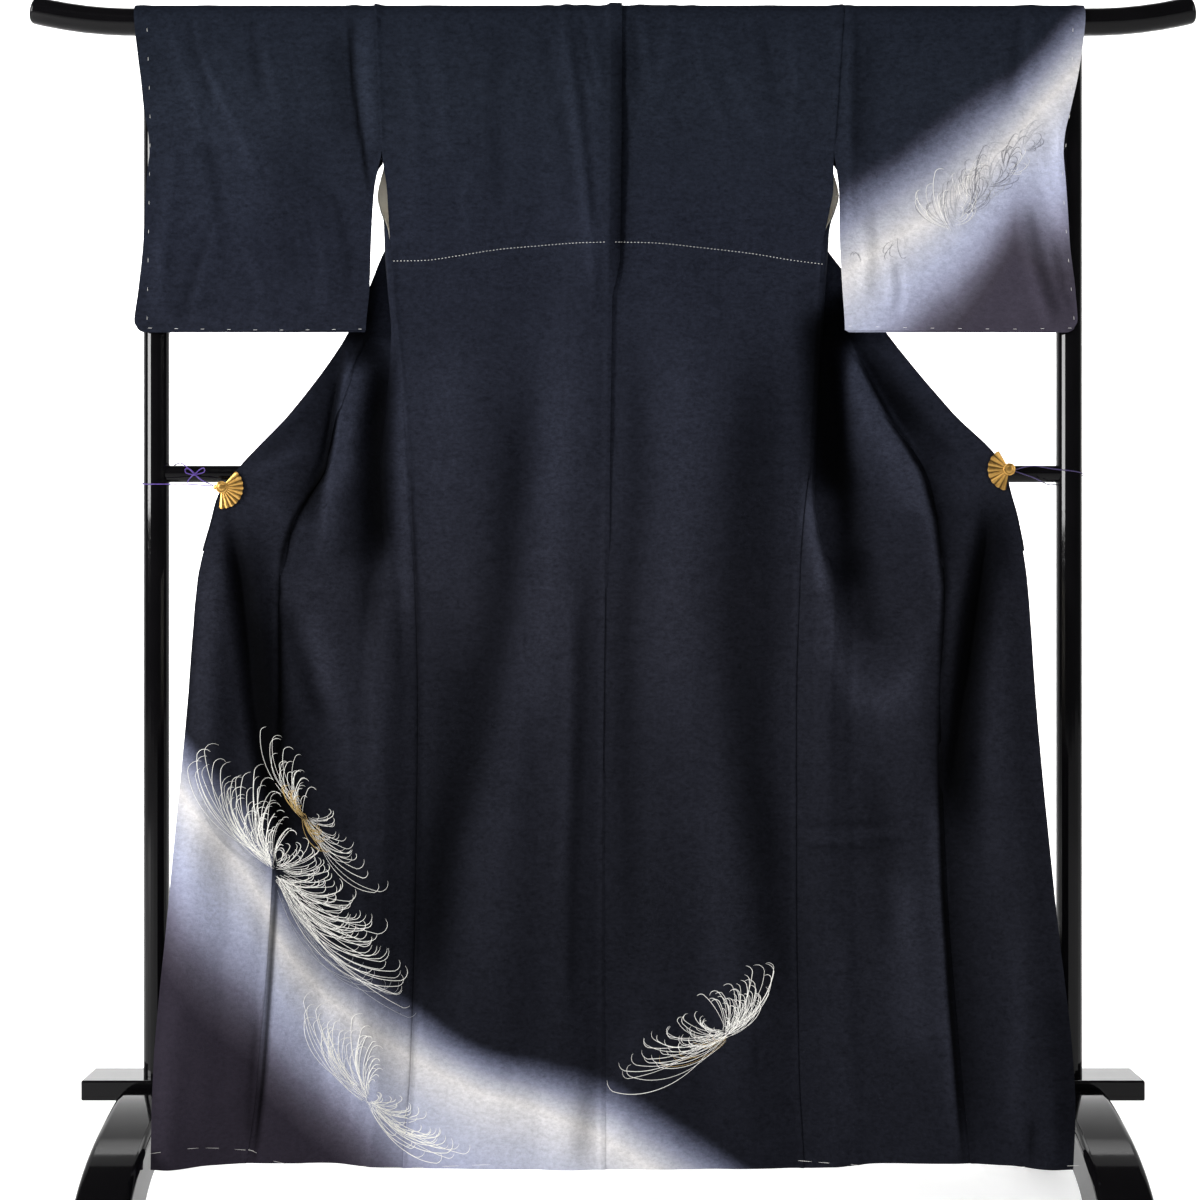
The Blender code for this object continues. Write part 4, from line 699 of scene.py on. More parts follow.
def soft_line(points, counts):
    """A smooth line through the points, with so many steps between each two of them."""
    points = np.array(points)
    steps = np.diff(points, axis=0)
    lengths = np.maximum(np.linalg.norm(steps, axis=1), 1e-6)
    straight = steps / lengths[:, None]
    ways = np.vstack([straight[:1], straight[:-1] + straight[1:], straight[-1:]])
    ways /= np.maximum(np.linalg.norm(ways, axis=1), 1e-6)[:, None]
    reach = np.concatenate([lengths[:1], np.minimum(lengths[:-1], lengths[1:]), lengths[-1:]])
    line = []
    for i, count in enumerate(counts):
        for t in [k / count for k in range(count)] if isinstance(count, int) else count:
            line.append(bent(t, points[i], points[i + 1], ways[i] * reach[i], ways[i + 1] * reach[i + 1]))
    line.append(points[-1])
    return line


def front_section(side, level):
    """The front's section, from the side edge over turn and fold to the okumi seam."""
    table = body_table(side)
    name = f"front_{side_name(side)}"
    across = {"s": 0.0, "t1": 0.08, "t": 0.15, "t2": 0.22, "f1": 0.38, "f": 0.45, "f2": 0.52, "k": 1.0}
    section = []
    for column, share in across.items():
        z = level_height(level, "side", "okumi", share)
        if column in ("s", "t", "f", "k"):
            x = read(table, column, z)
        else:
            x = read(table, column[0], z) + read(BENDS, column, z)
        if column == "s" and z <= SIDE_SEAM_TOP:
            x += JOIN / 2
        if column == "k":
            x -= JOIN / 2
        section.append((x, read(DEPTHS, column, z), share))
    section.insert(4, tuple((a + b) / 2 for a, b in zip(section[3], section[4])))
    last = section.pop()
    start = section[-1]
    section += [tuple(mix(a, b, share) for a, b in zip(start, last)) for share in (0.25, 0.5, 0.75, 1.0)]
    points = []
    near = section[0]
    far = section[-1]
    for x, depth, share in section:
        z = level_height(level, "side", "okumi", share)
        flat = float(np.interp(z, (0.42, 0.78), (0.6, 0.0)))
        straight = mix(near[1], far[1], (x - near[0]) / (far[0] - near[0]))
        points.append(place(side * x, z, mix(depth - fold_depth(name, share, z), straight, flat)))
    edge = (0, 0.06, 0.16, 0.32, 0.55, 0.78)
    near_okumi = (0, 0.16, 0.32, 0.46, 0.59, 0.70, 0.79, 0.87, 0.93, 0.975)
    return soft_line(points, (edge, 5, 5, 7, 7, 5, 5, 12, 12, 12, near_okumi))


def okumi_point(side, across, level):
    table = body_table(side)
    z = level_height(level, "okumi", "edge", across)
    x = mix(read(table, "k", z) + JOIN / 2, read(table, "e", z), across)
    depth = mix(read(DEPTHS, "k", z), read(DEPTHS, "e", z), across)
    return place(side * x, z, depth - fold_depth(f"okumi_{side_name(side)}", across, z))


def lapel_depth(side, x, height):
    """How far back the front or the okumi lies here, for the collar to lie on."""
    f, k, e = (read(body_table(side), column, height) for column in "fke")
    y_f, y_k, y_e = (read(DEPTHS, column, height) for column in ("f2", "k", "e"))
    if x >= k:
        return mix(y_k, y_e, min(1.0, (x - k) / max(e - k, 0.001)))
    return mix(y_f, y_k, max(0.0, (x - f) / max(k - f, 0.001)))


def hung(grid):
    """The grid as an array, with the smaller creases and the cloth's unevenness added."""
    grid = np.array(grid, dtype=float)
    x, y, z = grid[..., 0], grid[..., 1], grid[..., 2]
    out = np.zeros_like(x)
    for px, half_width, height in GATHERS[1:]:
        middle = seen(px, 20)[0]
        out += 0.001 * height * np.exp(-(((x - middle) / (UNIT * half_width)) ** 2))
    out *= np.clip((z - RAIL_Z + 0.05) / 0.05, 0, 1)
    turn = np.clip((z - RAIL_Z) / DRAPE_RADIUS, 0, 1)
    grid[..., 1] = y - relief(x, y, z) + out * np.sqrt(1 - turn**2) * np.sign(y)
    grid[..., 2] = z + out * turn
    return grid


def units(vectors):
    return vectors / np.maximum(np.linalg.norm(vectors, axis=-1, keepdims=True), 1e-12)


def directions(before, after):
    """The way past each point between the ways before and after it, and how much it bends there."""
    before = units(before)
    after = units(after)
    before = np.where(np.isnan(before), after, before)
    after = np.where(np.isnan(after), before, after)
    total = units(before + after)
    bend = np.clip((total * after).sum(axis=-1, keepdims=True), 0.55, 1.0)
    return total, bend


def moved_out(grid, distance, sign, around):
    """The grid moved along its normals. around gives the next panel's points above, before and after it."""
    above = np.full_like(grid, np.nan)
    below = np.full_like(grid, np.nan)
    before = np.full_like(grid, np.nan)
    after = np.full_like(grid, np.nan)
    above[1:] = below[:-1] = np.diff(grid, axis=0)
    before[:, 1:] = after[:, :-1] = np.diff(grid, axis=1)
    distance = distance if np.isscalar(distance) else distance[..., None]
    if "above" in around:
        above[0] = grid[0] - around["above"]
    if "before" in around:
        before[:, 0] = grid[:, 0] - around["before"]
    if "after" in around:
        after[:, -1] = around["after"] - grid[:, -1]
    down, down_bend = directions(above, below)
    across, across_bend = directions(before, after)
    normal = units(np.cross(down, across)) * sign
    return grid + normal * distance / (down_bend * across_bend)


def add_mesh(name, points, faces):
    mesh = bpy.data.meshes.new(name)
    mesh.from_pydata([tuple(float(value) for value in point) for point in points], [], faces)
    mesh.update()
    mesh.shade_smooth()
    mesh.set_sharp_from_angle(angle=math.radians(50))
    return linked(name, mesh)


def grid_faces(rows, columns, start, flip, closed=False):
    faces = []
    for r in range(rows if closed else rows - 1):
        below = (r + 1) % rows
        for c in range(columns - 1):
            a = start + r * columns + c
            b = start + below * columns + c
            faces.append((a, b, b + 1, a + 1) if not flip else (a, a + 1, b + 1, b))
    return faces


def rim(line_a, line_b, flip):
    faces = []
    for i in range(len(line_a) - 1):
        face = (line_a[i], line_a[i + 1], line_b[i + 1], line_b[i])
        faces.append(face[::-1] if flip else face)
    return faces


def wall(name, outer, inner, side, closed=False):
    """A thin wall of cloth between two grids; a closed one is a tube, open at its two ends.

    The faces of a tube's inner side take the second finish.
    """
    rows, columns = outer.shape[:2]
    shift = rows * columns
    points = np.vstack([outer.reshape(-1, 3), inner.reshape(-1, 3)])
    flip = side < 0
    faces = grid_faces(rows, columns, 0, flip, closed)
    outside = len(faces)
    faces += grid_faces(rows, columns, shift, not flip, closed)
    inside = len(faces)
    column = [r * columns for r in range(rows)] + ([0] if closed else [])
    ends = [(column, True), ([v + columns - 1 for v in column], False)]
    for line, first in ends:
        faces += rim(line, [v + shift for v in line], first != flip)
    if not closed:
        top = list(range(columns))
        low = [v + (rows - 1) * columns for v in top]
        faces += rim(top, [v + shift for v in top], flip)
        faces += rim(low, [v + shift for v in low], not flip)
    obj = add_mesh(name, points, faces)
    if closed:
        for polygon in list(obj.data.polygons)[outside:inside]:
            polygon.material_index = 1
    return obj


# The cloth


PANEL_ROWS = levels(RIDGE)
OKUMI_ROWS = levels(KENSAKI)
# How far across the panel each column lies: closer together beside the seams.
BACK_SHARES = [0, 0.003, 0.008, 0.016, 0.026, 0.04, *(0.04 + 0.92 * i / 62 for i in range(1, 63)),
               0.974, 0.984, 0.992, 0.997, 1]
OKUMI_SHARES = [0, 0.006, 0.015, 0.03, 0.05, 0.075, *(0.075 + 0.925 * i / 36 for i in range(1, 37))]
JOIN = 0.0001
LAP = 0.0014
SLEEVE_COLUMNS = 62
PIECES = {}


def keep(obj, slot, *nodes):
    """The finished piece joins the kimono or its stand, for these solids or beside them."""
    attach(obj, "root")
    if nodes:
        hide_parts(*nodes)
    PIECES[obj.name] = obj
    return obj


def seam_line(grid, column, rows, top):
    """The next panel's points along a seam, with nothing above the seam's top."""
    line = np.full((rows, 3), np.nan)
    points = grid[:, column]
    line[rows - len(points):] = points
    line[line[:, 2] > top + 1e-4] = np.nan
    return line


def lap(grid, column, rows, over, lift=LAP, reach=0.007):
    """Carry the panel's edge over the next one, or under it, and return how far it stands up beside the seam.

    rows holds, for each row, how much of the lap it has; over is how far the edge goes past the seam.
    """
    inward = 1 if column == 0 else -1
    edge = grid[:, column].copy()
    way = units(edge - grid[:, column + 4 * inward])
    distance = np.linalg.norm(grid - edge[:, None], axis=-1)
    share = np.clip(1 - distance / reach, 0, 1)
    grid[:, column] += way * (over * rows)[:, None]
    return lift * rows[:, None] * share**1.5 * (3 - 2 * share**1.5)


def cloth_and_lining(name, grid, laps, side, around):
    """A panel's outer cloth, with its laps, and its lining behind it."""
    start = CLOTH / 2 + SEAM
    lining = wall(f"{name}_lining", *(moved_out(grid, -distance, side, around)
                                      for distance in (start, start + LINING)), side)
    lift = sum(lap(grid, *each) for each in laps) + np.zeros(grid.shape[:2])
    cloth = wall(f"{name}_cloth", *(moved_out(grid, lift + distance, side, around)
                                    for distance in (CLOTH / 2, -CLOTH / 2)), side)
    keep(cloth, "kimono_cloth", name)
    keep(lining, "kimono_lining", f"lining_{name}")


def over_ridge(grid):
    """The row of the panel on the other side of the rail that goes on from this one's top."""
    return grid[1] * np.array((1, -1, 1))


def make_panels():
    """Back, front and okumi of both sides, each with its lining."""
    grids = {}
    for side in (-1, 1):
        grids["back", side] = hung([[back_point(side, share, level) for share in BACK_SHARES]
                                    for level in PANEL_ROWS])
        grids["front", side] = hung([front_section(side, level) for level in PANEL_ROWS])
        grids["okumi", side] = hung([[okumi_point(side, share, level) for share in OKUMI_SHARES]
                                     for level in OKUMI_ROWS])
    rows = len(PANEL_ROWS)
    heights = grids["back", 1][:, 0, 2]
    whole = np.ones(rows)
    below_arm = np.clip((SIDE_SEAM_TOP - heights) / 0.03, 0, 1)
    at_sleeve = np.clip((heights - SLEEVE_SEAM_END) / 0.02, 0, 1)
    laps = {}
    for side in (-1, 1):
        below_kensaki = (grids["front", side][:, -1, 2] < KENSAKI) * 1.0
        laps[side] = {
            "back": [(-1, below_arm, 0.0012), (-1, at_sleeve, 0.0010)],
            "front": [(0, at_sleeve, 0.0010), (0, below_arm, 0.0016, 0.0), (-1, below_kensaki, 0.0016, 0.0)],
            "okumi": [(0, np.ones(len(OKUMI_ROWS)), 0.0010, LAP, 0.009)],
        }
    upper = np.clip((heights - 1.27) / 0.05, 0, 1)
    laps[-1]["back"] += [(0, whole, 0.0012 + 0.0070 * upper, LAP, 0.008), (0, upper, 0.0, 0.0012, 0.012)]
    laps[1]["back"].append((0, whole, 0.0016, 0.0))
    copies = {key: value.copy() for key, value in grids.items()}
    for side in (-1, 1):
        back, front, okumi = (copies[panel, side] for panel in ("back", "front", "okumi"))
        name = side_name(side)
        cloth_and_lining(f"back_{name}", grids["back", side], laps[side]["back"], side, {
            "above": over_ridge(back),
            "before": copies["back", -side][:, 1],
            "after": seam_line(front, 1, rows, SIDE_SEAM_TOP),
        })
        cloth_and_lining(f"front_{name}", grids["front", side], laps[side]["front"], side, {
            "above": over_ridge(front),
            "before": seam_line(back, -2, rows, SIDE_SEAM_TOP),
            "after": seam_line(okumi, 1, rows, KENSAKI),
        })
        cloth_and_lining(f"okumi_{name}", grids["okumi", side], laps[side]["okumi"], side,
                         {"before": front[-len(okumi):, -2]})


def make_collar(side):
    """The half collar round the neck and down the front edge, turned to the far side."""
    table = body_table(side)
    spots = np.array([(x + SEAM / 2, height, depth, inner_x + SEAM / 2, inner_height)
                      for x, height, depth, inner_x, inner_height in NECK[1:]])
    grid = []
    for x, height, depth, inner_x, inner_height in soft_line(spots, (4,) * (len(spots) - 1)):
        grid.append([place(side * mix(x, inner_x, share), mix(height, inner_height, share), depth)
                     for share in (0.0, 0.03, 0.10, 0.25, 0.4, 0.55, 0.7, 0.85, 1.0)])
    heights = [1.600, *(float(height) for height in np.arange(1.592, COLLAR_END + 0.004, -0.008)), COLLAR_END]
    edges = np.array([(read(table, "e", height), height) for height in heights])
    for index, height in enumerate(heights):
        along = units(edges[min(index + 1, len(edges) - 1)] - edges[max(index - 1, 0)])
        inward = np.array((along[1], -along[0]))
        edge = read(DEPTHS, "e", height)
        row = [(side * (edges[index][0] + 0.0016), edge - 0.0006, height),
               (side * (edges[index][0] + 0.0018), edge + 0.0030, height)]
        for width in (0.0020, 0.010, 0.019, 0.0275, 0.037, 0.046, COLLAR_WIDTH):
            x, z = edges[index] + inward * width
            row.append((side * x, lapel_depth(side, x, z) + COLLAR_LIFT, z))
        grid.append(row)
    grid = hung(grid)
    faces = (moved_out(grid, distance, side, {}) for distance in (COLLAR / 2, -COLLAR / 2))
    name = f"collar_{side_name(side)}"
    keep(wall(f"{name}_cloth", *faces, side), "kimono_cloth", name)


def sleeve_point(side, layer, across, height):
    """A point of the sleeve's near or far layer; the lower outer corner is rounded."""
    table = SLEEVE_LEFT if side < 0 else SLEEVE_RIGHT
    start = read(table, f"{layer}_in", height)
    if height >= SLEEVE_SEAM_END:
        start = read(body_table(side), "side", height) + SEAM + JOIN
    out = read(table, f"{layer}_out", height)
    inner = read(SLEEVE_DEPTHS, f"{layer}_in", height)
    outer = read(SLEEVE_DEPTHS, f"{layer}_out", height)
    share = min(1.0, (across / 0.9) ** 2.5) if layer == "far" else across
    depth = mix(inner, outer, share)
    x = mix(start, out, across)
    u = max(0.0, 1 - (out - x) / SLEEVE_CORNER)
    v = max(0.0, 1 - (height - SLEEVE_BOTTOM) / SLEEVE_CORNER)
    if u > 0 and v > 0:
        x = out - SLEEVE_CORNER * (1 - u * math.sqrt(1 - v * v / 2))
        height = SLEEVE_BOTTOM + SLEEVE_CORNER * (1 - v * math.sqrt(1 - u * u / 2))
    return place(side * x, height, depth)


def make_sleeve(side):
    """A sleeve folded over the rail: a tube that is closed along the bottom and open at both ends."""
    shares = [c / SLEEVE_COLUMNS for c in range(SLEEVE_COLUMNS)]
    shares = [share * 0.965 / shares[-1] for share in shares] + [0.982, 1.0]
    up = [SLEEVE_BOTTOM, SLEEVE_BOTTOM + 0.004, SLEEVE_BOTTOM + 0.009]
    up += [float(height) for height in np.arange(SLEEVE_BOTTOM + 0.016, RAIL_Z - 0.003, 0.008)] + [RAIL_Z]
    up += [RAIL_Z + DRAPE_RADIUS * math.radians(turn) for turn in (15, 30, 45, 60, 75)]
    rows = [[sleeve_point(side, "near", share, height) for share in shares] for height in up]
    ridge = RAIL_Z + DRAPE_RADIUS * math.pi / 2
    rows.append([place(sleeve_point(side, "near", share, RIDGE)[0], ridge, DRAPE_RADIUS) for share in shares])
    rows += [[sleeve_point(side, "far", share, height) for share in shares] for height in reversed(up)]
    grid = hung(rows)
    under = np.clip((grid[:, 0, 2] - SLEEVE_SEAM_END) / 0.02, 0, 1)
    grid[:, 0, 0] -= side * 0.0016 * under
    bottom_seam = (grid[0] + grid[-1]) / 2 - np.array((0, 0, 0.0022))
    grid = np.vstack([grid, bottom_seam[None]])
    wrapped = np.vstack([grid[-1:], grid, grid[:1]])
    faces = (moved_out(wrapped, distance, -side, {})[1:-1] for distance in (CLOTH / 2, -CLOTH / 2))
    name = f"sleeve_{side_name(side)}"
    keep(wall(f"{name}_cloth", *faces, -side, closed=True), "kimono_cloth", name)


# Embroidery and stitches

# Sprays of thread petals: finish, half a thread's thickness in mm, how many petals, how much shorter the
# inner ones are, which way their tips curl, the root, and places on the outline of the tips.
SPRAYS = [
    ("white", 0.51, 44, 0.50, 1, (272, 868),
     [(187, 772), (192, 756), (206, 748), (222, 783), (236, 776), (252, 772), (262, 790), (276, 799),
      (284, 818), (292, 828)]),
    ("white", 0.46, 26, 0.55, -1, (276, 868),
     [(281, 850), (294, 850), (304, 847), (316, 850), (323, 857), (326, 872), (332, 884)]),
    ("white", 0.51, 50, 0.50, -1, (276, 878),
     [(333, 884), (344, 892), (351, 909), (364, 924), (379, 937), (374, 952), (386, 963), (402, 978),
      (398, 992), (415, 1016)]),
    ("white", 0.52, 18, 0.80, 1, (272, 870), [(214, 800), (228, 790), (244, 792), (262, 806), (274, 826)]),
    ("white", 0.52, 20, 0.80, -1, (276, 876), [(320, 862), (330, 884), (346, 906), (362, 940), (366, 962)]),
    ("silver", 0.28, 12, 0.40, -1, (276, 890), [(346, 962), (360, 984), (398, 1006), (425, 1030)]),
    ("silver", 0.26, 6, 0.30, 1, (268, 874), [(187, 790), (204, 800), (226, 812)]),
    ("white", 0.41, 22, 0.45, 1, (300, 813),
     [(257, 730), (266, 740), (277, 738), (290, 755), (298, 762), (299, 780), (307, 787)]),
    ("white", 0.41, 26, 0.50, -1, (306, 820),
     [(327, 812), (335, 817), (333, 828), (343, 840), (342, 850), (349, 858), (358, 868), (372, 886),
      (388, 908)]),
    ("gold", 0.50, 16, 0.55, 1, (304, 818), [(279, 790), (284, 788), (291, 794), (297, 798)]),
    ("gold", 0.50, 16, 0.60, -1, (303, 816), [(318, 830), (320, 838), (322, 846), (325, 852)]),
    ("white", 0.49, 31, 0.50, 1, (366, 1101),
     [(303, 1008), (306, 1024), (318, 1030), (332, 1024), (350, 1018), (364, 1030), (374, 1042), (376, 1058),
      (374, 1072)]),
    ("white", 0.43, 19, 0.50, 1, (366, 1101), [(300, 998), (316, 1020), (336, 1030), (362, 1036)]),
    ("white", 0.61, 41, 0.45, -1, (368, 1103),
     [(383, 1093), (396, 1100), (410, 1114), (426, 1119), (430, 1142), (450, 1150), (468, 1154), (436, 1164),
      (408, 1160)]),
    ("white", 0.46, 30, 0.55, 1, (728, 1034),
     [(612, 1090), (622, 1070), (642, 1066), (648, 1038), (660, 1040), (674, 1020), (690, 1015),
      (701, 1017)]),
    ("white", 0.46, 34, 0.50, -1, (726, 1036),
     [(708, 996), (720, 988), (738, 992), (745, 983), (754, 972), (765, 971), (776, 967), (774, 992),
      (758, 1010)]),
    ("white", 0.42, 18, 0.75, 1, (728, 1036), [(656, 1066), (668, 1048), (690, 1034), (706, 1026)]),
    ("white", 0.42, 18, 0.75, -1, (727, 1037), [(722, 1006), (738, 1002), (756, 990), (762, 1006)]),
    ("gold", 0.34, 8, 0.60, 1, (727, 1038), [(660, 1074), (684, 1052), (700, 1040)]),
    ("white", 0.36, 9, 0.35, 1, (949, 230), [(911, 190), (914, 203), (934, 172), (940, 186)]),
    ("grey", 0.26, 8, 0.45, 1, (951, 228), [(914, 206), (926, 208), (938, 186), (950, 178)]),
    ("silver", 0.30, 13, 0.55, 1, (956, 224), [(936, 196), (948, 178), (958, 168), (970, 172)]),
    ("white", 0.30, 9, 0.60, -1, (956, 224), [(968, 186), (976, 196), (980, 206), (974, 214)]),
    ("grey", 0.26, 12, 0.55, -1, (962, 214), [(972, 176), (984, 182), (990, 194), (986, 208)]),
    ("white", 0.28, 8, 0.50, 1, (968, 206), [(950, 184), (956, 166), (968, 156), (978, 160)]),
    ("grey", 0.28, 12, 0.55, 1, (974, 200), [(958, 176), (968, 158), (982, 148), (992, 152)]),
    ("silver", 0.28, 11, 0.55, -1, (976, 200), [(990, 164), (1002, 168), (1008, 182), (1000, 196)]),
    ("silver", 0.30, 10, 0.50, 1, (988, 188), [(974, 160), (984, 148), (998, 142), (1010, 148)]),
    ("grey", 0.26, 11, 0.50, -1, (990, 188), [(1006, 150), (1018, 158), (1023, 170), (1016, 184)]),
    ("grey", 0.28, 8, 0.50, 1, (1004, 170), [(998, 148), (1010, 138), (1022, 134), (1030, 140)]),
    ("white", 0.26, 7, 0.50, -1, (1006, 172), [(1022, 146), (1030, 154), (1030, 166), (1020, 176)]),
    ("silver", 0.28, 8, 0.40, 1, (1022, 150), [(1018, 132), (1028, 124), (1040, 120), (1046, 128)]),
    ("grey", 0.26, 5, 0.40, -1, (1024, 150), [(1040, 134), (1046, 142), (1040, 152)]),
    ("grey", 0.30, 4, 0.20, -1, (896, 240), [(880, 250), (884, 258), (906, 256)]),
    ("grey", 0.32, 2, 0.10, -1, (861, 263), [(853, 252), (857, 247)]),
]

# Lines of stitches: pitch, length and thickness in mm, and the line in the picture.
STITCHES = [
    (4.8, 2.2, 0.95,
     [(394, 261), (429, 260), (459, 255.6), (497.5, 249.5), (536, 246), (574, 243), (604, 242)]),
    (4.8, 2.2, 0.95, [(616, 242), (657, 243), (696, 247), (753, 253.7), (791, 260), (822, 264)]),
    (36.0, 31.0, 0.45, [(160, 1152.5), (200, 1148), (244, 1150)]),
    (36.0, 31.0, 0.45, [(252, 1151), (268, 1160), (306, 1166), (360, 1169), (404, 1168), (480, 1165)]),
    (36.0, 31.0, 0.45, [(802, 1161), (868, 1166), (944, 1169), (968, 1168)]),
    (36.0, 31.0, 0.45, [(974, 1165), (1021, 1167), (1068, 1166)]),
    (38.0, 6.0, 0.50, [(147, 30), (150, 120), (149, 200), (147, 318)]),
    (34.0, 6.0, 0.50, [(150, 328), (200, 329), (280, 330), (360, 329)]),
    (34.0, 6.0, 0.50, [(850, 326), (930, 328), (1010, 329), (1070, 328)]),
    (38.0, 6.0, 0.50, [(1073, 30), (1070, 130), (1063, 170), (1067, 240), (1074, 318)]),
]


# How far a thread and a stitch lie off the cloth, and the depth past which cloth is no longer the front.
THREAD_LIFT = 0.0002
STITCH_LIFT = 0.00015
BEHIND_RAIL = 0.05

# The longest step along a petal: a longer one has jumped off an edge of the cloth.
LONGEST_STEP = 0.03


class Cloth:
    """The kimono's outer cloth as one surface, on which places of the picture are found."""

    def __init__(self):
        points = []
        faces = []
        for name, obj in PIECES.items():
            if name.endswith("_cloth"):
                start = len(points)
                points += [vertex.co.copy() for vertex in obj.data.vertices]
                faces += [[start + v for v in polygon.vertices] for polygon in obj.data.polygons]
        self.surface = BVHTree.FromPolygons(points, faces)

    def touch(self, px, py, out):
        """The place on the cloth that shows here in the picture, lifted off the cloth by out, or None."""
        way = Vector(((px - PICTURE_MIDDLE) * UNIT / -EYE.y, 1.0, (PICTURE_MIDDLE - py) * UNIT / -EYE.y))
        spot, normal, _, _ = self.surface.ray_cast(EYE, way.normalized())
        return None if spot is None or spot.y > BEHIND_RAIL else spot + normal * out


def petal(root, tip, curl, chance):
    """A thread petal from its root to its tip, which ends in a small hook."""
    chord = tip - root
    length = float(np.hypot(*chord))
    angle = math.atan2(chord[1], chord[0])
    bend = curl * chance.uniform(0.18, 0.64)
    leave = np.array((math.cos(angle - bend), math.sin(angle - bend)))
    turning = angle + bend * 1.3
    arrive = np.array((math.cos(turning), math.sin(turning)))
    first = root + leave * length * 0.42
    second = tip - arrive * length * 0.30
    steps = max(8, int(length / 6))
    points = []
    for k in range(steps + 1):
        t = k / steps
        points.append((1 - t) ** 3 * root + 3 * t * (1 - t) ** 2 * first + 3 * t * t * (1 - t) * second
                      + t**3 * tip)
    radius = min(8.0, 2.0 + 0.06 * length) * chance.uniform(0.7, 1.3)
    spot = points[-1]
    for _ in range(chance.integers(3, 6)):
        turning += curl * math.radians(chance.uniform(18, 28))
        spot = spot + radius * 0.42 * np.array((math.cos(turning), math.sin(turning)))
        points.append(spot)
    return points


def spray_lines(cloth, finish):
    """Every petal of this finish, as points on the cloth with the thread's radius at each."""
    lines = []
    for index, (kind, thick, count, short, curl, root, guides) in enumerate(SPRAYS):
        chance = np.random.default_rng(40 + index)
        if kind != finish:
            continue
        root = np.array(root, dtype=float)
        guides = np.array(guides, dtype=float)
        for k in range(count):
            spot = (k + chance.uniform(0.1, 0.9)) / count * (len(guides) - 1)
            i = min(int(spot), len(guides) - 2)
            tip = mix(guides[i], guides[i + 1], spot - i) + chance.normal(0, 2.4, 2)
            reach = 1 - short * chance.random() * (k % 3 != 0) - 0.04 * chance.random()
            start = root + (tip - root) * chance.uniform(0.0, 0.22) + chance.normal(0, 1.6, 2)
            path = petal(start, root + (tip - root) * reach, curl, chance)
            wide = thick * chance.uniform(0.8, 1.2)
            spots = []
            for step, (px, py) in enumerate(path):
                share = step / (len(path) - 1)
                touched = cloth.touch(px, py, THREAD_LIFT)
                if touched is not None:
                    spots.append((touched, 0.0010 * wide * (0.35 + 0.9 * share) * (1 - share**6 * 0.8)))
            steps = [(b[0] - a[0]).length for a, b in zip(spots, spots[1:])]
            if len(spots) > 4 and max(steps) < LONGEST_STEP:
                lines.append(spots)
    return lines


def curves_of(name, lines):
    """An object that holds these lines of points and radii."""
    curve = bpy.data.curves.new(name, "CURVE")
    curve.dimensions = "3D"
    for line in lines:
        spline = curve.splines.new("POLY")
        spline.points.add(len(line) - 1)
        for spot, (place_at, radius) in zip(spline.points, line):
            spot.co = (*place_at, 1.0)
            spot.radius = radius * 1000
    return linked(name, curve)


def new_node(tree, kind, settings, inputs):
    """Add a node with its settings and its inputs, which are numbers or other nodes' sockets."""
    node = tree.nodes.new(kind)
    for name, value in settings.items():
        setattr(node, name, value)
    for name, value in inputs.items():
        if isinstance(value, bpy.types.NodeSocket):
            tree.links.new(value, node.inputs[name])
        else:
            node.inputs[name].default_value = value
    return node


class Tree:
    """A geometry node tree with named inputs."""

    def __init__(self, name, **inputs):
        self.group = bpy.data.node_groups.new(name, "GeometryNodeTree")
        kinds = {float: "NodeSocketFloat", int: "NodeSocketInt"}
        self.group.interface.new_socket("Geometry", in_out="INPUT", socket_type="NodeSocketGeometry")
        self.sockets = {}
        for socket, value in inputs.items():
            made = self.group.interface.new_socket(socket, in_out="INPUT", socket_type=kinds[type(value)])
            made.default_value = value
            self.sockets[socket] = made.identifier
        made = self.group.interface.new_socket("Finish", in_out="INPUT", socket_type="NodeSocketMaterial")
        self.sockets["Finish"] = made.identifier
        self.group.interface.new_socket("Geometry", in_out="OUTPUT", socket_type="NodeSocketGeometry")
        self.input = self.group.nodes.new("NodeGroupInput")
        self.output = self.group.nodes.new("NodeGroupOutput")

    def node(self, kind, settings, inputs, output=0):
        return new_node(self.group, kind, settings, inputs).outputs[output]

    def given(self, name):
        return self.input.outputs[name]

    def end(self, geometry):
        """Finish the tree: real geometry, with its finish."""
        real = self.node("GeometryNodeRealizeInstances", {}, {0: geometry})
        done = self.node("GeometryNodeSetMaterial", {}, {"Geometry": real, "Material": self.given("Finish")})
        self.group.links.new(done, self.output.inputs[0])

    def grow(self, source, name, finish, **values):
        """Run the tree on an object and return the plain mesh that comes of it."""
        modifier = source.modifiers.new("made by rule", "NODES")
        modifier.node_group = self.group
        for socket, value in {**values, "Finish": finish}.items():
            modifier[self.sockets[socket]] = value
        bpy.context.view_layer.update()
        graph = bpy.context.evaluated_depsgraph_get()
        mesh = bpy.data.meshes.new_from_object(source.evaluated_get(graph), depsgraph=graph)
        source.modifiers.remove(modifier)
        bpy.data.objects.remove(source)
        mesh.name = name
        if not mesh.materials:
            mesh.materials.append(finish)
        return linked(name, mesh)


def thread_tree():
    """A round thread along each line, as thick as the line says."""
    tree = Tree("laid thread", Sides=6, Scale=1.0)
    ring = tree.node("GeometryNodeCurvePrimitiveCircle", {"mode": "RADIUS"},
                     {"Resolution": tree.given("Sides"), "Radius": 0.001})
    size = tree.node("GeometryNodeInputRadius", {}, {})
    size = tree.node("ShaderNodeMath", {"operation": "MULTIPLY"}, {0: size, 1: tree.given("Scale")})
    thread = tree.node("GeometryNodeCurveToMesh", {}, {"Curve": tree.given("Geometry"), "Profile Curve": ring,
                                                       "Scale": size, "Fill Caps": True})
    tree.end(tree.node("GeometryNodeSetShadeSmooth", {}, {"Geometry": thread}))
    return tree


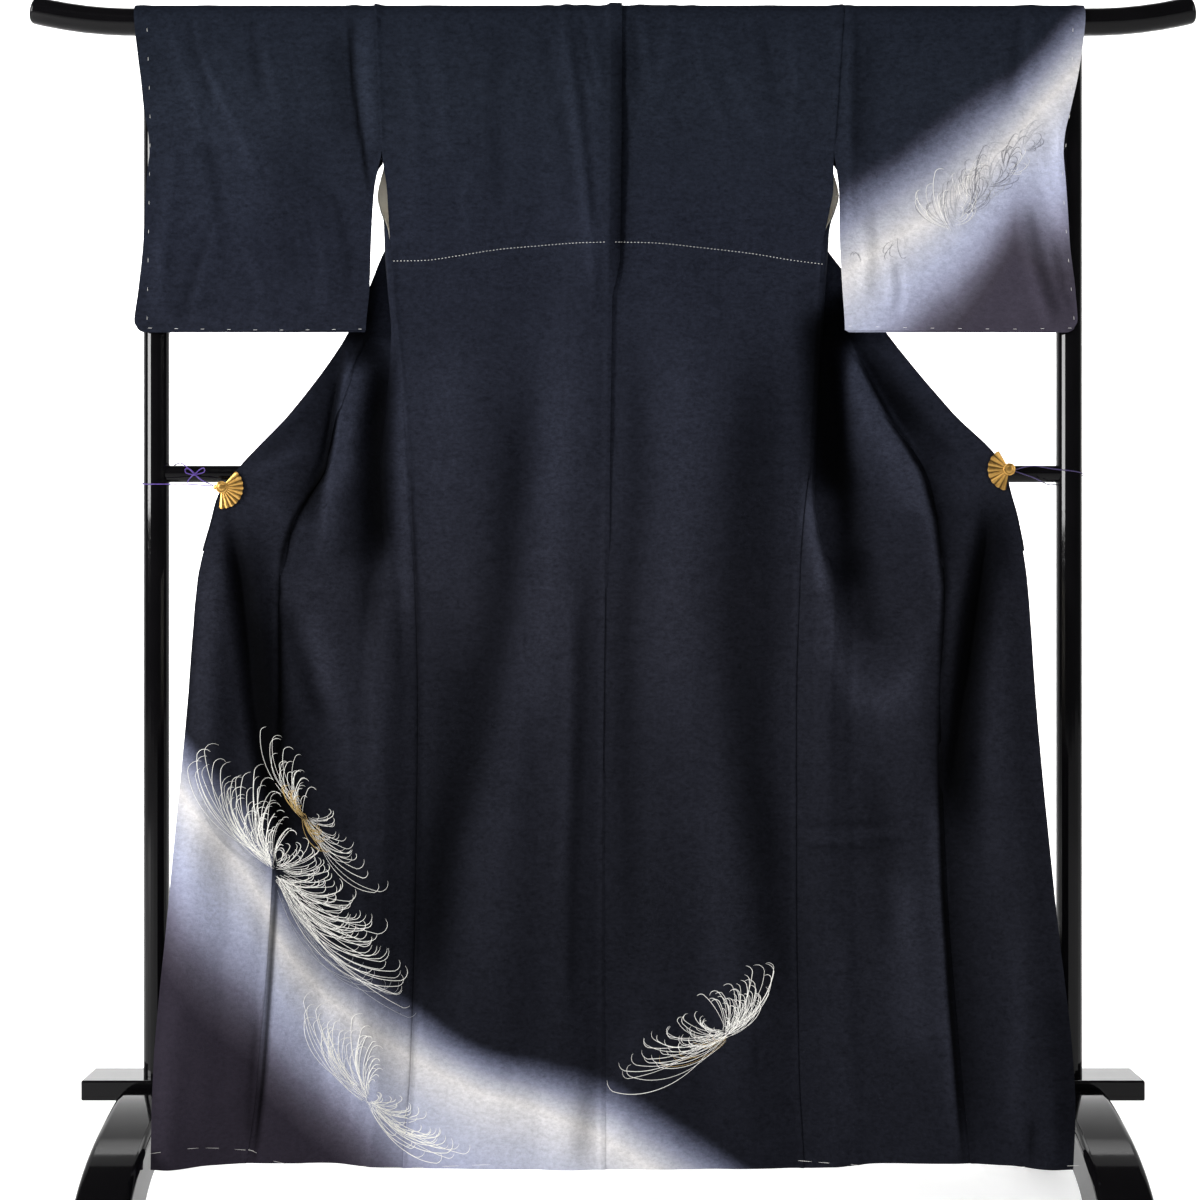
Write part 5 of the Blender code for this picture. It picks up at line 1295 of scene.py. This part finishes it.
def stitch_tree():
    """Stitches in a row along each line, a little uneven."""
    tree = Tree("running stitches", Pitch=0.004, Length=0.0022, Thickness=0.0004, Uneven=0.12, Seed=5)
    spots = tree.node("GeometryNodeResampleCurve", {"mode": "LENGTH"},
                      {"Curve": tree.given("Geometry"), 3: tree.given("Pitch")})
    stitch = tree.node("GeometryNodeMeshIcoSphere", {}, {"Radius": 0.5, "Subdivisions": 2})
    tangent = tree.node("GeometryNodeInputTangent", {}, {})
    turn = tree.node("FunctionNodeAlignRotationToVector", {"axis": "X"}, {"Vector": tangent})
    low = tree.node("ShaderNodeMath", {"operation": "SUBTRACT"}, {0: 1.0, 1: tree.given("Uneven")})
    uneven = tree.node("FunctionNodeRandomValue", {"data_type": "FLOAT"},
                       {2: low, 3: 1.0, "Seed": tree.given("Seed")}, 1)
    length = tree.node("ShaderNodeMath", {"operation": "MULTIPLY"}, {0: tree.given("Length"), 1: uneven})
    size = tree.node("ShaderNodeCombineXYZ", {}, {"X": length, "Y": tree.given("Thickness"),
                                                  "Z": tree.given("Thickness")})
    row = tree.node("GeometryNodeInstanceOnPoints", {}, {"Points": spots, "Instance": stitch,
                                                         "Rotation": turn, "Scale": size})
    tree.end(row)
    return tree


def make_embroidery(cloth, finishes):
    tree = thread_tree()
    for kind, finish in finishes.items():
        lines = spray_lines(cloth, kind)
        piece = tree.grow(curves_of(f"lines_{kind}", lines), f"embroidery_{kind}", finish)
        keep(piece, "kimono_cloth")


def make_stitches(cloth, finish):
    tree = stitch_tree()
    for index, (pitch, length, thick, line) in enumerate(STITCHES):
        line = np.array(line, dtype=float)
        path = soft_line(line, (14,) * (len(line) - 1))
        spots = [cloth.touch(px, py, STITCH_LIFT) for px, py in path]
        spots = [(spot, 0.001) for spot in spots if spot is not None]
        piece = tree.grow(curves_of(f"row_{index}", [spots]), f"stitches_{index}", finish, Pitch=pitch / 1000,
                          Length=length / 1000, Thickness=thick / 1000, Seed=index)
        keep(piece, "kimono_cloth")


# The stand


def rail_middle(x):
    """Height of the top rail's middle, whose ends curve up."""
    share = max(0.0, (abs(x) - RAIL_BEND_START) / (RAIL_HALF - RAIL_BEND_START))
    return RAIL_Z + RAIL_BEND_RISE * share**2.1


def round_bar(name, middles, radii, sides=48):
    """A round bar whose middle runs through these points."""
    middles = np.array(middles, dtype=float)
    ways = units(np.gradient(middles, axis=0))
    side_way = units(np.cross(ways[0], (0.0, 0.0, 1.0) if abs(ways[0][2]) < 0.9 else (0.0, 1.0, 0.0)))
    points = []
    for middle, way, radius in zip(middles, ways, radii):
        side_way = units(side_way - way * np.dot(side_way, way))
        other = np.cross(way, side_way)
        for i in range(sides):
            angle = 2 * math.pi * i / sides
            size = radius(angle, len(points) // sides) if callable(radius) else radius
            points.append(middle + size * (side_way * math.cos(angle) + other * math.sin(angle)))
    faces = []
    for s in range(len(middles) - 1):
        for i in range(sides):
            j = (i + 1) % sides
            faces.append((s * sides + i, s * sides + j, (s + 1) * sides + j, (s + 1) * sides + i))
    faces.append(tuple(reversed(range(sides))))
    last = (len(middles) - 1) * sides
    faces.append(tuple(range(last, last + sides)))
    return add_mesh(name, points, faces)


def make_top_rail():
    """The long rail, with ends that curve up and are turned round at their tips."""
    ease = 0.006
    turns = [math.radians(angle) for angle in (0, 18, 36, 54, 72, 90)]
    cap = [(ease * (1 - math.sin(turn)), RAIL_RADIUS - ease * (1 - math.cos(turn))) for turn in turns]
    xs = [-RAIL_HALF + inset for inset, _ in reversed(cap)]
    radii = [radius for _, radius in reversed(cap)]
    middle = [float(x) for x in np.linspace(-RAIL_HALF + 0.02, RAIL_HALF - 0.02, 60)]
    xs += middle + [-x for x in reversed(xs)]
    radii += [RAIL_RADIUS] * len(middle) + list(reversed(radii))
    bar = round_bar("top_rail_lacquer", [(x, 0, rail_middle(x)) for x in xs], radii)
    keep(bar, "black_lacquer", "top_rail")


def ease_edges(obj, width, segments):
    bevel = obj.modifiers.new("eased edges", "BEVEL")
    bevel.width = width
    bevel.segments = segments
    bevel.limit_method = "ANGLE"
    bevel.angle_limit = math.radians(40)


def foot_profile():
    """The bridge foot from the side: a bow with a housing for the plank and an arch below."""
    housing = PLANK_DEPTH / 2 + FIT
    seat = PLANK_BOTTOM - FIT
    top = [(0.090, 0.168), (0.150, 0.157), (0.210, 0.142), (0.262, 0.122), (0.302, 0.098), (0.328, 0.070),
           (0.341, 0.038), (0.345, 0.000)]
    bow = soft_line([(housing, 0.172)] + top, (4,) * len(top))
    arch = []
    for step in range(25):
        angle = math.radians(90 * step / 24)
        arch.append((0.245 * math.cos(angle) ** 0.8, 0.105 * math.sin(angle) ** 0.8))
    right = [(housing, seat)] + [tuple(point) for point in bow] + arch
    return right + [(-y, z) for y, z in reversed(right[:-1])]


def make_foot(side):
    profile = foot_profile()
    half = FOOT_WIDTH / 2
    points = [(side * FOOT_X + x, y, z) for x in (-half, half) for y, z in profile]
    count = len(profile)
    faces = [((i + 1) % count, i, i + count, (i + 1) % count + count) for i in range(count)]
    faces += [tuple(range(count)), tuple(reversed(range(count, 2 * count)))]
    foot = add_mesh(f"foot_{side_name(side)}_lacquer", points, faces)
    ease_edges(foot, 0.011, 5)
    keep(foot, "black_lacquer", f"foot_{side_name(side)}")


def make_plank():
    half = PLANK_DEPTH / 2
    profile = [(-half, PLANK_BOTTOM), (half, PLANK_BOTTOM), (half, PLANK_TOP), (-half, PLANK_TOP)]
    points = [(x, y, z) for x in (-PLANK_HALF, PLANK_HALF) for y, z in profile]
    faces = [(i, (i + 1) % 4, (i + 1) % 4 + 4, i + 4) for i in range(4)]
    faces += [(3, 2, 1, 0), (4, 5, 6, 7)]
    plank = add_mesh("base_plank_lacquer", points, faces)
    ease_edges(plank, 0.0025, 4)
    keep(plank, "black_lacquer", "base_plank")


# The clips and their cords

CLIPS = {
    "left": {"hub": (-0.5425, 1.0034), "axis": -24.0, "spread": 148.0, "ribs": 10},
    "right": {"hub": (0.5495, 1.0283), "axis": 190.0, "spread": 142.0, "ribs": 8},
}
FAN_RADIUS = 0.0290
FAN_ROOT = 0.0050
FAN_Y = -0.0277
FAN_PLEAT = 0.0009
FAN_PLATE = 0.0010
FAN_SCALLOP = 0.0012
HUB_RADIUS = 0.0085
CORD_RADIUS = 0.0008

# Routes of the cords, as points (distance out, depth, height) from the knob, round the post and back.
CORD_LEFT = [(0.5553, -0.0252, 1.0050), (0.5850, -0.0250, 1.0075), (0.6120, -0.0225, 1.0080),
             (0.6387, -0.0197, 1.0082), (0.6527, -0.0139, 1.0085), (0.6585, 0.0000, 1.0100),
             (0.6527, 0.0139, 1.0140), (0.6387, 0.0197, 1.0210), (0.6240, 0.0170, 1.0320),
             (0.6110, 0.0080, 1.0385), (0.6010, -0.0060, 1.0372), (0.5900, -0.0150, 1.0290),
             (0.5740, -0.0210, 1.0150), (0.5553, -0.0226, 1.0062)]
CORD_RIGHT = [(0.5567, -0.0250, 1.0275), (0.5820, -0.0262, 1.0330), (0.6120, -0.0232, 1.0290),
              (0.6387, -0.0197, 1.0265), (0.6527, -0.0139, 1.0240), (0.6585, 0.0000, 1.0215),
              (0.6527, 0.0139, 1.0180), (0.6387, 0.0197, 1.0140), (0.6260, 0.0150, 1.0110),
              (0.6185, 0.0030, 1.0088), (0.6060, -0.0105, 1.0085), (0.5850, -0.0205, 1.0170),
              (0.5567, -0.0224, 1.0265)]

# The bow that ties the left cord: its knot, and the way from one tail through both loops to the other.
BOW = (-0.5810, -0.0220, 1.0215)
BOW_LOOPS = [(0.0130, -0.0005, -0.0100), (0.0070, -0.0018, -0.0055), (0.0008, -0.0004, 0.0),
             (-0.0060, -0.0012, 0.0068), (-0.0125, -0.0020, 0.0075), (-0.0120, -0.0020, 0.0022),
             (-0.0050, -0.0014, 0.0), (0.0, -0.0016, -0.0012), (0.0014, -0.0002, 0.0014),
             (-0.0012, -0.0014, 0.0016), (-0.0014, -0.0030, -0.0012), (0.0012, -0.0032, -0.0010),
             (0.0016, -0.0022, 0.0010),
             (0.0062, -0.0014, 0.0060), (0.0125, -0.0020, 0.0088), (0.0135, -0.0020, 0.0035),
             (0.0060, -0.0024, 0.0006), (-0.0004, -0.0032, -0.0004), (-0.0070, -0.0020, -0.0060),
             (-0.0105, -0.0010, -0.0118)]


def make_fan(side):
    """A folding fan of gilt metal, with crisp pleats, painted shade in its grooves, a scalloped rim and a
    domed hub.
    """
    name = side_name(side)
    clip = CLIPS[name]
    hub_x, hub_z = clip["hub"]
    per_pleat = 4
    steps = 2 * clip["ribs"] * per_pleat
    angles = [math.radians(clip["axis"] + clip["spread"] * (i / steps - 0.5)) for i in range(steps + 1)]
    radii = [FAN_ROOT, 0.009, 0.0135, 0.018, 0.0225, 0.0262, 0.0285, FAN_RADIUS]
    points = []
    painted_groove_shade = []
    for layer in (-1, 1):
        for radius in radii:
            share = radius / FAN_RADIUS
            rim_share = 1.0 if radius == FAN_RADIUS else 0.0
            plate = FAN_PLATE / 2 * (1.0 - 0.45 * rim_share)
            for i, angle in enumerate(angles):
                fold = abs((i / per_pleat) % 2 - 1)
                edge = radius + FAN_SCALLOP * (1 - fold) * rim_share
                depth = FAN_Y + FAN_PLEAT * (2 * fold - 1) * share
                points.append((hub_x + edge * math.cos(angle), depth + layer * plate,
                               hub_z + edge * math.sin(angle)))
                # Painted shade in the pleats' grooves, kept for the gilt's colour.
                painted_groove_shade.append(-0.90 * fold**1.5 * min(1.0, 1.5 * share))
    row = steps + 1
    rows = len(radii)
    back = rows * row
    faces = grid_faces(rows, row, 0, False) + grid_faces(rows, row, back, True)
    for column, flip in ((range(row), False), (range(back - row, back), True),
                         (range(0, back, row), True), (range(steps, back, row), False)):
        faces += rim(column, [back + v for v in column], flip)
    fan = add_mesh(f"clip_{name}_fan_gilt", points, faces)
    keep_painted_shade_and_light(fan, painted_groove_shade)
    keep(fan, "gilt_metal", f"clip_{name}_fan")
    front = FAN_Y - FAN_PLATE / 2 - FAN_PLEAT * HUB_RADIUS / FAN_RADIUS - FIT
    profile = [(0.0, HUB_RADIUS), (0.0007, HUB_RADIUS), (0.0012, HUB_RADIUS * 0.94),
               (0.0013, HUB_RADIUS * 0.80), (0.0009, HUB_RADIUS * 0.74), (0.0010, HUB_RADIUS * 0.66),
               (0.0016, HUB_RADIUS * 0.52), (0.0018, HUB_RADIUS * 0.3), (0.0018, 0.0006)]
    hub = round_bar(f"clip_{name}_hub_gilt", [(hub_x, front - depth - k * 1e-6, hub_z)
                                              for k, (depth, _) in enumerate(profile)],
                    [radius for _, radius in profile], 40)
    keep(hub, "gilt_metal", f"clip_{name}_hub")


def smooth_route(route, steps):
    """Points along a curve through the route's own points."""
    points = []
    for i in range(len(route) - 1):
        leaving = (route[i + 1] - route[max(i - 1, 0)]) / 2
        arriving = (route[min(i + 2, len(route) - 1)] - route[i]) / 2
        points += [bent(step / steps, route[i], route[i + 1], leaving, arriving) for step in range(steps)]
    return points + [route[-1]]


def make_cord(side, route):
    """A thin plied silk cord, tied to the clip's knob and passed round the post."""
    name = side_name(side)
    points = smooth_route([Vector((side * x, y, z)) for x, y, z in route], 14)

    def ply(angle, station):
        return CORD_RADIUS * (0.80 + 0.20 * abs(math.cos(angle - station * 0.55)))

    cord = round_bar(f"cord_{name}_silk", points, [ply] * len(points), 12)
    keep(cord, "violet_cord", f"cord_{name}")
    bows = []
    if side < 0:
        bow = smooth_route([Vector((BOW[0] + x, BOW[1] + y, BOW[2] + z)) for x, y, z in BOW_LOOPS], 10)
        bows = [keep(round_bar(f"cord_{name}_bow", bow, [ply] * len(bow), 10), "violet_cord")]
    length = sum((b - a).length for a, b in zip(points, points[1:]))


# Finishes


class Value:
    """A socket of a finish. Sums written with it add Math nodes."""

    def __init__(self, finish, socket):
        self.finish = finish
        self.socket = socket

    def sum(self, operation, *numbers, clamp=False):
        settings = {"operation": operation, "use_clamp": clamp}
        return self.finish.node("ShaderNodeMath", settings, dict(enumerate(numbers)))

    def __add__(self, other):
        return self.sum("ADD", self, other)

    __radd__ = __add__

    def __sub__(self, other):
        return self.sum("SUBTRACT", self, other)

    def __rsub__(self, other):
        return self.sum("SUBTRACT", other, self)

    def __mul__(self, other):
        return self.sum("MULTIPLY", self, other)

    def __truediv__(self, other):
        return self.sum("DIVIDE", self, other)

    def clamped(self):
        return self.sum("ADD", self, 0.0, clamp=True)


class Finish:
    """A material, with what stays the same all over set on its shader's own sockets."""

    def __init__(self, name, colour, roughness, **constants):
        self.material = bpy.data.materials.new(name)
        self.material.use_nodes = True
        self.tree = self.material.node_tree
        self.shader = self.tree.nodes["Principled BSDF"]
        self.shader.inputs["Base Color"].default_value = rgb(colour)
        self.shader.inputs["Roughness"].default_value = roughness
        for socket, value in constants.items():
            self.shader.inputs[socket.replace("_", " ").title().replace("Ior", "IOR")].default_value = value
        self.spot = self.node("ShaderNodeTexCoord", {}, {}, "Object")

    def node(self, kind, settings, inputs, output=0):
        """Add a node, and return one of its outputs."""
        sockets = {name: value.socket if isinstance(value, Value) else value
                   for name, value in inputs.items()}
        return Value(self, new_node(self.tree, kind, settings, sockets).outputs[output])

    def axis(self, letter):
        return self.node("ShaderNodeSeparateXYZ", {}, {0: self.spot}, "XYZ".index(letter))

    def noise(self, scale, detail=2.0, stretch=(1, 1, 1), roughness=0.5):
        """Uneven patches between 0 and 1, this many to a metre."""
        vector = self.spot
        if stretch != (1, 1, 1):
            vector = self.node("ShaderNodeVectorMath", {"operation": "MULTIPLY"}, {0: self.spot, 1: stretch})
        return self.node("ShaderNodeTexNoise", {}, {"Vector": vector, "Scale": scale, "Detail": detail,
                                                    "Roughness": roughness})

    def ramp(self, value, stops):
        """A value that goes through these stops, each a position and a colour."""
        band = self.node("ShaderNodeValToRGB", {}, {0: value})
        elements = band.socket.node.color_ramp.elements
        while len(elements) < len(stops):
            elements.new(0.5)
        for element, (position, colour) in zip(elements, stops):
            element.position = position
            element.color = colour
        return band

    def shown_ramp(self, value, stops):
        return self.ramp(value, [(stop, rgb(shown)) for stop, shown in stops])

    def blend(self, share, first, second):
        first = first if isinstance(first, Value) else rgb(first)
        second = second if isinstance(second, Value) else rgb(second)
        return self.node("ShaderNodeMix", {"data_type": "RGBA"}, {0: share, 6: first, 7: second}, 2)

    def shaded(self, colour, share):
        """The colour, darker or lighter by this share."""
        return self.node("ShaderNodeVectorMath", {"operation": "SCALE"}, {0: colour, "Scale": share})

    def hollow(self):
        """Painted shade, below 0, and painted light, above 0, kept on the surface's own attribute."""
        return self.node("ShaderNodeAttribute", {"attribute_name": "hollow"}, {}, 2)

    def feed(self, socket, value):
        self.tree.links.new(value.socket, self.shader.inputs[socket])

    def bump(self, height, distance, strength):
        self.feed("Normal", self.node("ShaderNodeBump", {}, {"Strength": strength, "Distance": distance,
                                                             "Height": height}))

    def smooth(self, value, low, high):
        """0 below low, 1 above high, and a soft step between."""
        return self.node("ShaderNodeMapRange", {"interpolation_type": "SMOOTHSTEP"},
                         {"Value": value, "From Min": low, "From Max": high})


# Colours down through the misted band, and of the dark cloth by share of its height, from the floor up. The
# dark cloth's colours hold painted shade that grows towards the floor, and are a little darker again at the
# top.
CLOTH_TOP = 1.69
MIST = [
    (0.00, CREPE), (0.05, (40, 42, 53)), (0.09, (52, 54, 67)), (0.15, (78, 81, 97)), (0.21, (103, 106, 124)),
    (0.27, (128, 131, 148)), (0.33, (152, 154, 166)), (0.40, (174, 174, 182)), (0.46, (193, 191, 193)),
    (0.50, (206, 203, 203)), (0.54, (194, 193, 198)), (0.59, (176, 178, 191)), (0.67, (164, 168, 189)),
    (0.74, (149, 152, 174)), (0.79, (128, 129, 148)), (0.84, (100, 98, 114)), (0.89, (78, 75, 87)),
    (0.94, (62, 58, 68)),
]
GROUND_WITH_PAINTED_FALLOFF = [(0.04, (20, 21, 27)), (0.25, (23, 24, 30)), (0.50, (28, 29, 36)), (0.80, (29, 32, 42)),
          (0.92, (28, 32, 41)), (1.00, (24, 28, 37))]


def mist(finish, table):
    """How far down through the misted band a place lies: 0 above it, 0.5 on its brightest line, 1 below."""
    low = -0.2
    span = 2.0
    stops = []
    places = [[seen(px, py, cloth_depth(px)) for py in rows] for px, *rows in table]
    xs = [spots[0][0] for spots in places]
    for spots in places:
        share = (spots[0][0] - xs[0]) / (xs[-1] - xs[0])
        stops.append((share, tuple((z - low) / span for _, z in spots) + (1.0,)))
    x = finish.axis("X")
    z = finish.axis("Z")
    along = (x - xs[0]) / (xs[-1] - xs[0])
    heights = finish.ramp(along, stops)
    ragged = (finish.noise(5.0, 2.0) - 0.5) * 0.03
    level = (z + ragged - low) / span
    upper, ridge, lower = (finish.node("ShaderNodeSeparateColor", {}, {0: heights}, i) for i in range(3))
    above = ((upper - level) / (upper - ridge)).clamped()
    below = ((ridge - level) / (ridge - lower)).clamped()
    return above * 0.5 + below * 0.5


def cloth_depth(px):
    """Roughly how deep the cloth lies across the picture, low down."""
    depths = (-0.155, -0.125, -0.12, -0.085, -0.058, -0.05)
    return float(np.interp(px, (150, 200, 250, 300, 420, 1100), depths))


def crepe(name, table=None, deepest=PLUM):
    """Figured silk crepe: a pebbled grain, a faint woven figure, a misted band where there is one, painted
    shade towards the floor, and painted shade and light in its folds.
    """
    finish = Finish(name, CREPE, 0.8, specular_ior_level=0.015)
    grain = finish.noise(600.0, 2.0)
    pebble = finish.noise(190.0, 3.0, (0.8, 1.0, 1.2), 0.65)
    figure = finish.noise(55.0, 3.0, (0.6, 1.0, 1.3), 0.6)
    patch = finish.noise(4.0, 3.0)
    # The dark cloth's colour, with painted shade that grows towards the floor.
    colour = finish.shown_ramp(finish.axis("Z") / CLOTH_TOP, GROUND_WITH_PAINTED_FALLOFF)
    if table:
        share = mist(finish, table)
        band = finish.shown_ramp(share, MIST + [(1.00, deepest)])
        colour = finish.blend(finish.smooth(share, 0.0, 0.09), colour, band)
    # Painted shade in the cloth's hollows and painted light on its swells, from its own attribute.
    fold = finish.hollow()
    uneven = (pebble - 0.5) * 1.5 + (grain - 0.5) * 0.5 + (figure - 0.5) * 0.45 + (patch - 0.5) * 0.25
    if table:
        uneven = uneven * (1.0 - finish.smooth(share, 0.05, 0.3) * 0.55)
    finish.feed("Base Color", finish.shaded(colour, (uneven + 1.0) * (fold + 1.0)))
    finish.feed("Roughness", 0.74 + (pebble - 0.5) * 0.2)
    finish.bump(grain * 0.5 + pebble * 1.3 + figure * 1.6, 0.0011, 0.6)
    return finish.material


def lining_silk(name, axis, from_dark, to_light, side=1):
    """Plain white silk, dyed dark towards the hem or the sleeve opening."""
    finish = Finish(name, SILK, 0.5, sheen_weight=0.05, specular_ior_level=0.15)
    reach = finish.axis(axis)
    if axis == "X":
        reach = reach * side
    dyed = finish.smooth(reach + (finish.noise(9.0) - 0.5) * 0.03, from_dark, to_light)
    cloth = finish.noise(500.0, 2.0, (0.4, 1.0, 1.6))
    colour = finish.blend(dyed, (34, 32, 40), SILK)
    finish.feed("Base Color", finish.shaded(colour, (cloth - 0.5) * 0.12 + 1.0))
    finish.feed("Roughness", 0.46 + cloth * 0.14)
    finish.bump(cloth, 0.0002, 0.5)
    return finish.material


def lacquer():
    """Deep black lacquer, polished, with the faintest waver and a little dust."""
    finish = Finish("black_lacquer", (10, 10, 11), 0.06, specular_ior_level=0.16)
    waver = finish.noise(14.0, 2.0)
    dust = finish.noise(420.0, 3.0)
    finish.feed("Roughness", 0.035 + (dust - 0.45).clamped() * 0.30 + waver * 0.03)
    finish.feed("Base Color", finish.blend(waver, (6, 6, 7), (13, 12, 14)))
    finish.bump(waver, 0.0004, 0.2)
    return finish.material


def gilt():
    """Gilt metal, satin, darker where it is worn, with painted shade in the fans' grooves."""
    finish = Finish("gilt_metal", (214, 168, 92), 0.3, metallic=1.0)
    worn = finish.noise(260.0, 4.0)
    # Painted shade in the fans' grooves, from the surface's own attribute.
    fold = finish.hollow()
    colour = finish.blend(worn, (168, 116, 46), (236, 192, 112))
    finish.feed("Base Color", finish.shaded(colour, fold + 1.0))
    finish.feed("Roughness", 0.22 + worn * 0.22)
    finish.bump(finish.noise(1500.0, 2.0), 0.0002, 0.3)
    return finish.material


def cord_silk(name, colour, light):
    """Plied silk, lighter on the strands."""
    finish = Finish(name, colour, 0.5, sheen_weight=0.15)
    strand = finish.noise(2400.0, 2.0)
    finish.feed("Base Color", finish.blend(strand, colour, light))
    finish.feed("Roughness", 0.4 + strand * 0.25)
    finish.bump(strand, 0.0002, 0.6)
    return finish.material


def thread(name, shade, light, metallic):
    """Glossed silk or metal-wrapped thread with a fine twist."""
    finish = Finish(name, light, 0.4, metallic=metallic, sheen_weight=0.2)
    twist = finish.noise(1600.0, 2.0)
    finish.feed("Base Color", finish.blend(twist, shade, light))
    finish.feed("Roughness", 0.34 + twist * 0.3)
    finish.bump(twist, 0.0002, 0.5)
    return finish.material


def dress(material, *names):
    for name in names:
        obj = PIECES.get(name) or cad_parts[name]
        obj.data.materials.clear()
        obj.data.materials.append(material)


# Light, floor and camera


def make_camera():
    data = bpy.data.cameras.new("camera")
    data.lens = LENS
    data.sensor_width = 36
    data.clip_start = 0.05
    data.clip_end = 60
    camera = linked("camera", data)
    camera.location = EYE
    camera.rotation_euler = (math.pi / 2, 0, 0)
    bpy.context.scene.camera = camera


def make_floor():
    """A pale floor that runs up into a pale wall a good way behind the stand."""
    half, front, back, curve, top = 12.0, -9.0, 2.6, 1.4, 9.0
    profile = [(front, 0.0), (back, 0.0)]
    for step in range(1, 13):
        turn = math.radians(90 * step / 12)
        profile.append((back + curve * math.sin(turn), curve * (1 - math.cos(turn))))
    profile.append((back + curve, top))
    points = [(x, y, z) for x in (-half, half) for y, z in profile]
    count = len(profile)
    faces = [(i, i + count, i + count + 1, i + 1) for i in range(count - 1)]
    floor = add_mesh("floor", points, faces)
    finish = Finish("pale_floor", (244, 244, 244), 0.75, emission_color=(1, 1, 1, 1), emission_strength=0.42)
    speck = finish.noise(30.0, 3.0)
    finish.feed("Base Color", finish.blend(speck, (242, 242, 242), (247, 247, 247)))
    floor.data.materials.append(finish.material)


def soft_light(name, place_at, aim, size, power, spread=180):
    data = bpy.data.lights.new(name, "AREA")
    data.shape = "RECTANGLE"
    data.size, data.size_y = size
    data.energy = power
    data.spread = math.radians(spread)
    light = linked(name, data)
    light.location = place_at
    light.rotation_euler = (Vector(aim) - Vector(place_at)).to_track_quat("-Z", "Y").to_euler()


def make_light():
    world = bpy.data.worlds.new("soft room")
    world.use_nodes = True
    glow = world.node_tree.nodes["Background"]
    glow.inputs["Color"].default_value = (1.0, 1.0, 1.0, 1.0)
    glow.inputs["Strength"].default_value = 0.08
    bpy.context.scene.world = world
    soft_light("left softbox", (-4.4, -2.5, 2.4), (0, 0, 0.9), (1.0, 2.6), 300)
    soft_light("right softbox", (3.6, -2.8, 2.4), (0, 0, 0.9), (1.0, 2.4), 44)
    soft_light("high softbox", (-0.4, -3.4, 3.8), (0, 0, 1.1), (2.0, 1.2), 30)
    soft_light("wall light", (0, 1.9, 3.8), (0, 4.0, 1.0), (6.0, 1.0), 105, 95)
    soft_light("floor light", (0, 2.4, 3.4), (0, 1.7, 0.0), (5.0, 0.8), 20, 70)
    bpy.context.scene.view_settings.view_transform = "Standard"


def main():
    make_camera()
    make_cord(-1, CORD_LEFT)
    make_cord(1, CORD_RIGHT)
    make_light()
    make_floor()
    make_panels()
    make_top_rail()
    make_plank()
    for side in (-1, 1):
        make_collar(side)
        make_sleeve(side)
        make_foot(side)
        make_fan(side)
    body = crepe("figured_crepe", HEM_BAND)
    for side in ("left", "right"):
        dress(body, f"back_{side}_cloth", f"front_{side}_cloth", f"okumi_{side}_cloth")
    dress(crepe("okumi_crepe", OKUMI_BAND), "okumi_left_cloth")
    # The sleeve's deepest colour is the plum made lighter, painted light on the sleeve.
    sleeve = crepe("sleeve_crepe", SLEEVE_BAND, (60, 56, 67))
    plain = crepe("plain_crepe")
    dress(plain, "collar_left_cloth", "collar_right_cloth")
    silk = lining_silk("lining_silk", "Z", 0.62, 0.80)
    for side, cloth in (("left", plain), ("right", sleeve)):
        dress(silk, *(f"{panel}_{side}_lining" for panel in ("back", "front", "okumi")))
        dress(cloth, f"sleeve_{side}_cloth")
        opening = lining_silk(f"sleeve_lining_{side}", "X", -0.63, -0.60, -1 if side == "right" else 1)
        PIECES[f"sleeve_{side}_cloth"].data.materials.append(opening)
    black = lacquer()
    dress(black, "top_rail_lacquer", "mid_rail", "post_left", "post_right", "base_plank_lacquer")
    dress(black, "foot_left_lacquer", "foot_right_lacquer")
    metal = gilt()
    for side in ("left", "right"):
        dress(metal, *(f"clip_{side}_{piece}" for piece in ("fan_gilt", "hub_gilt", "jaw", "knob")))
    dress(cord_silk("violet_cord_left", (56, 26, 112), (92, 56, 158)), "cord_left_silk", "cord_left_bow")
    dress(cord_silk("violet_cord_right", (40, 26, 74), (64, 46, 106)), "cord_right_silk")
    # Painted shade in each piece of cloth's hollows and painted light on its swells.
    for name, obj in PIECES.items():
        if name.endswith("_cloth"):
            paint_fold_shade_and_light(obj)
    threads = {
        "white": thread("white_silk_thread", (232, 229, 222), (250, 249, 245), 0.0),
        "gold": thread("gold_thread", (158, 128, 72), (206, 178, 112), 0.6),
        "silver": thread("silver_thread", (150, 152, 160), (206, 207, 210), 0.3),
        "grey": thread("grey_thread", (64, 66, 76), (120, 120, 128), 0.2),
    }
    cloth = Cloth()
    make_embroidery(cloth, threads)
    make_stitches(cloth, threads["white"])


main()
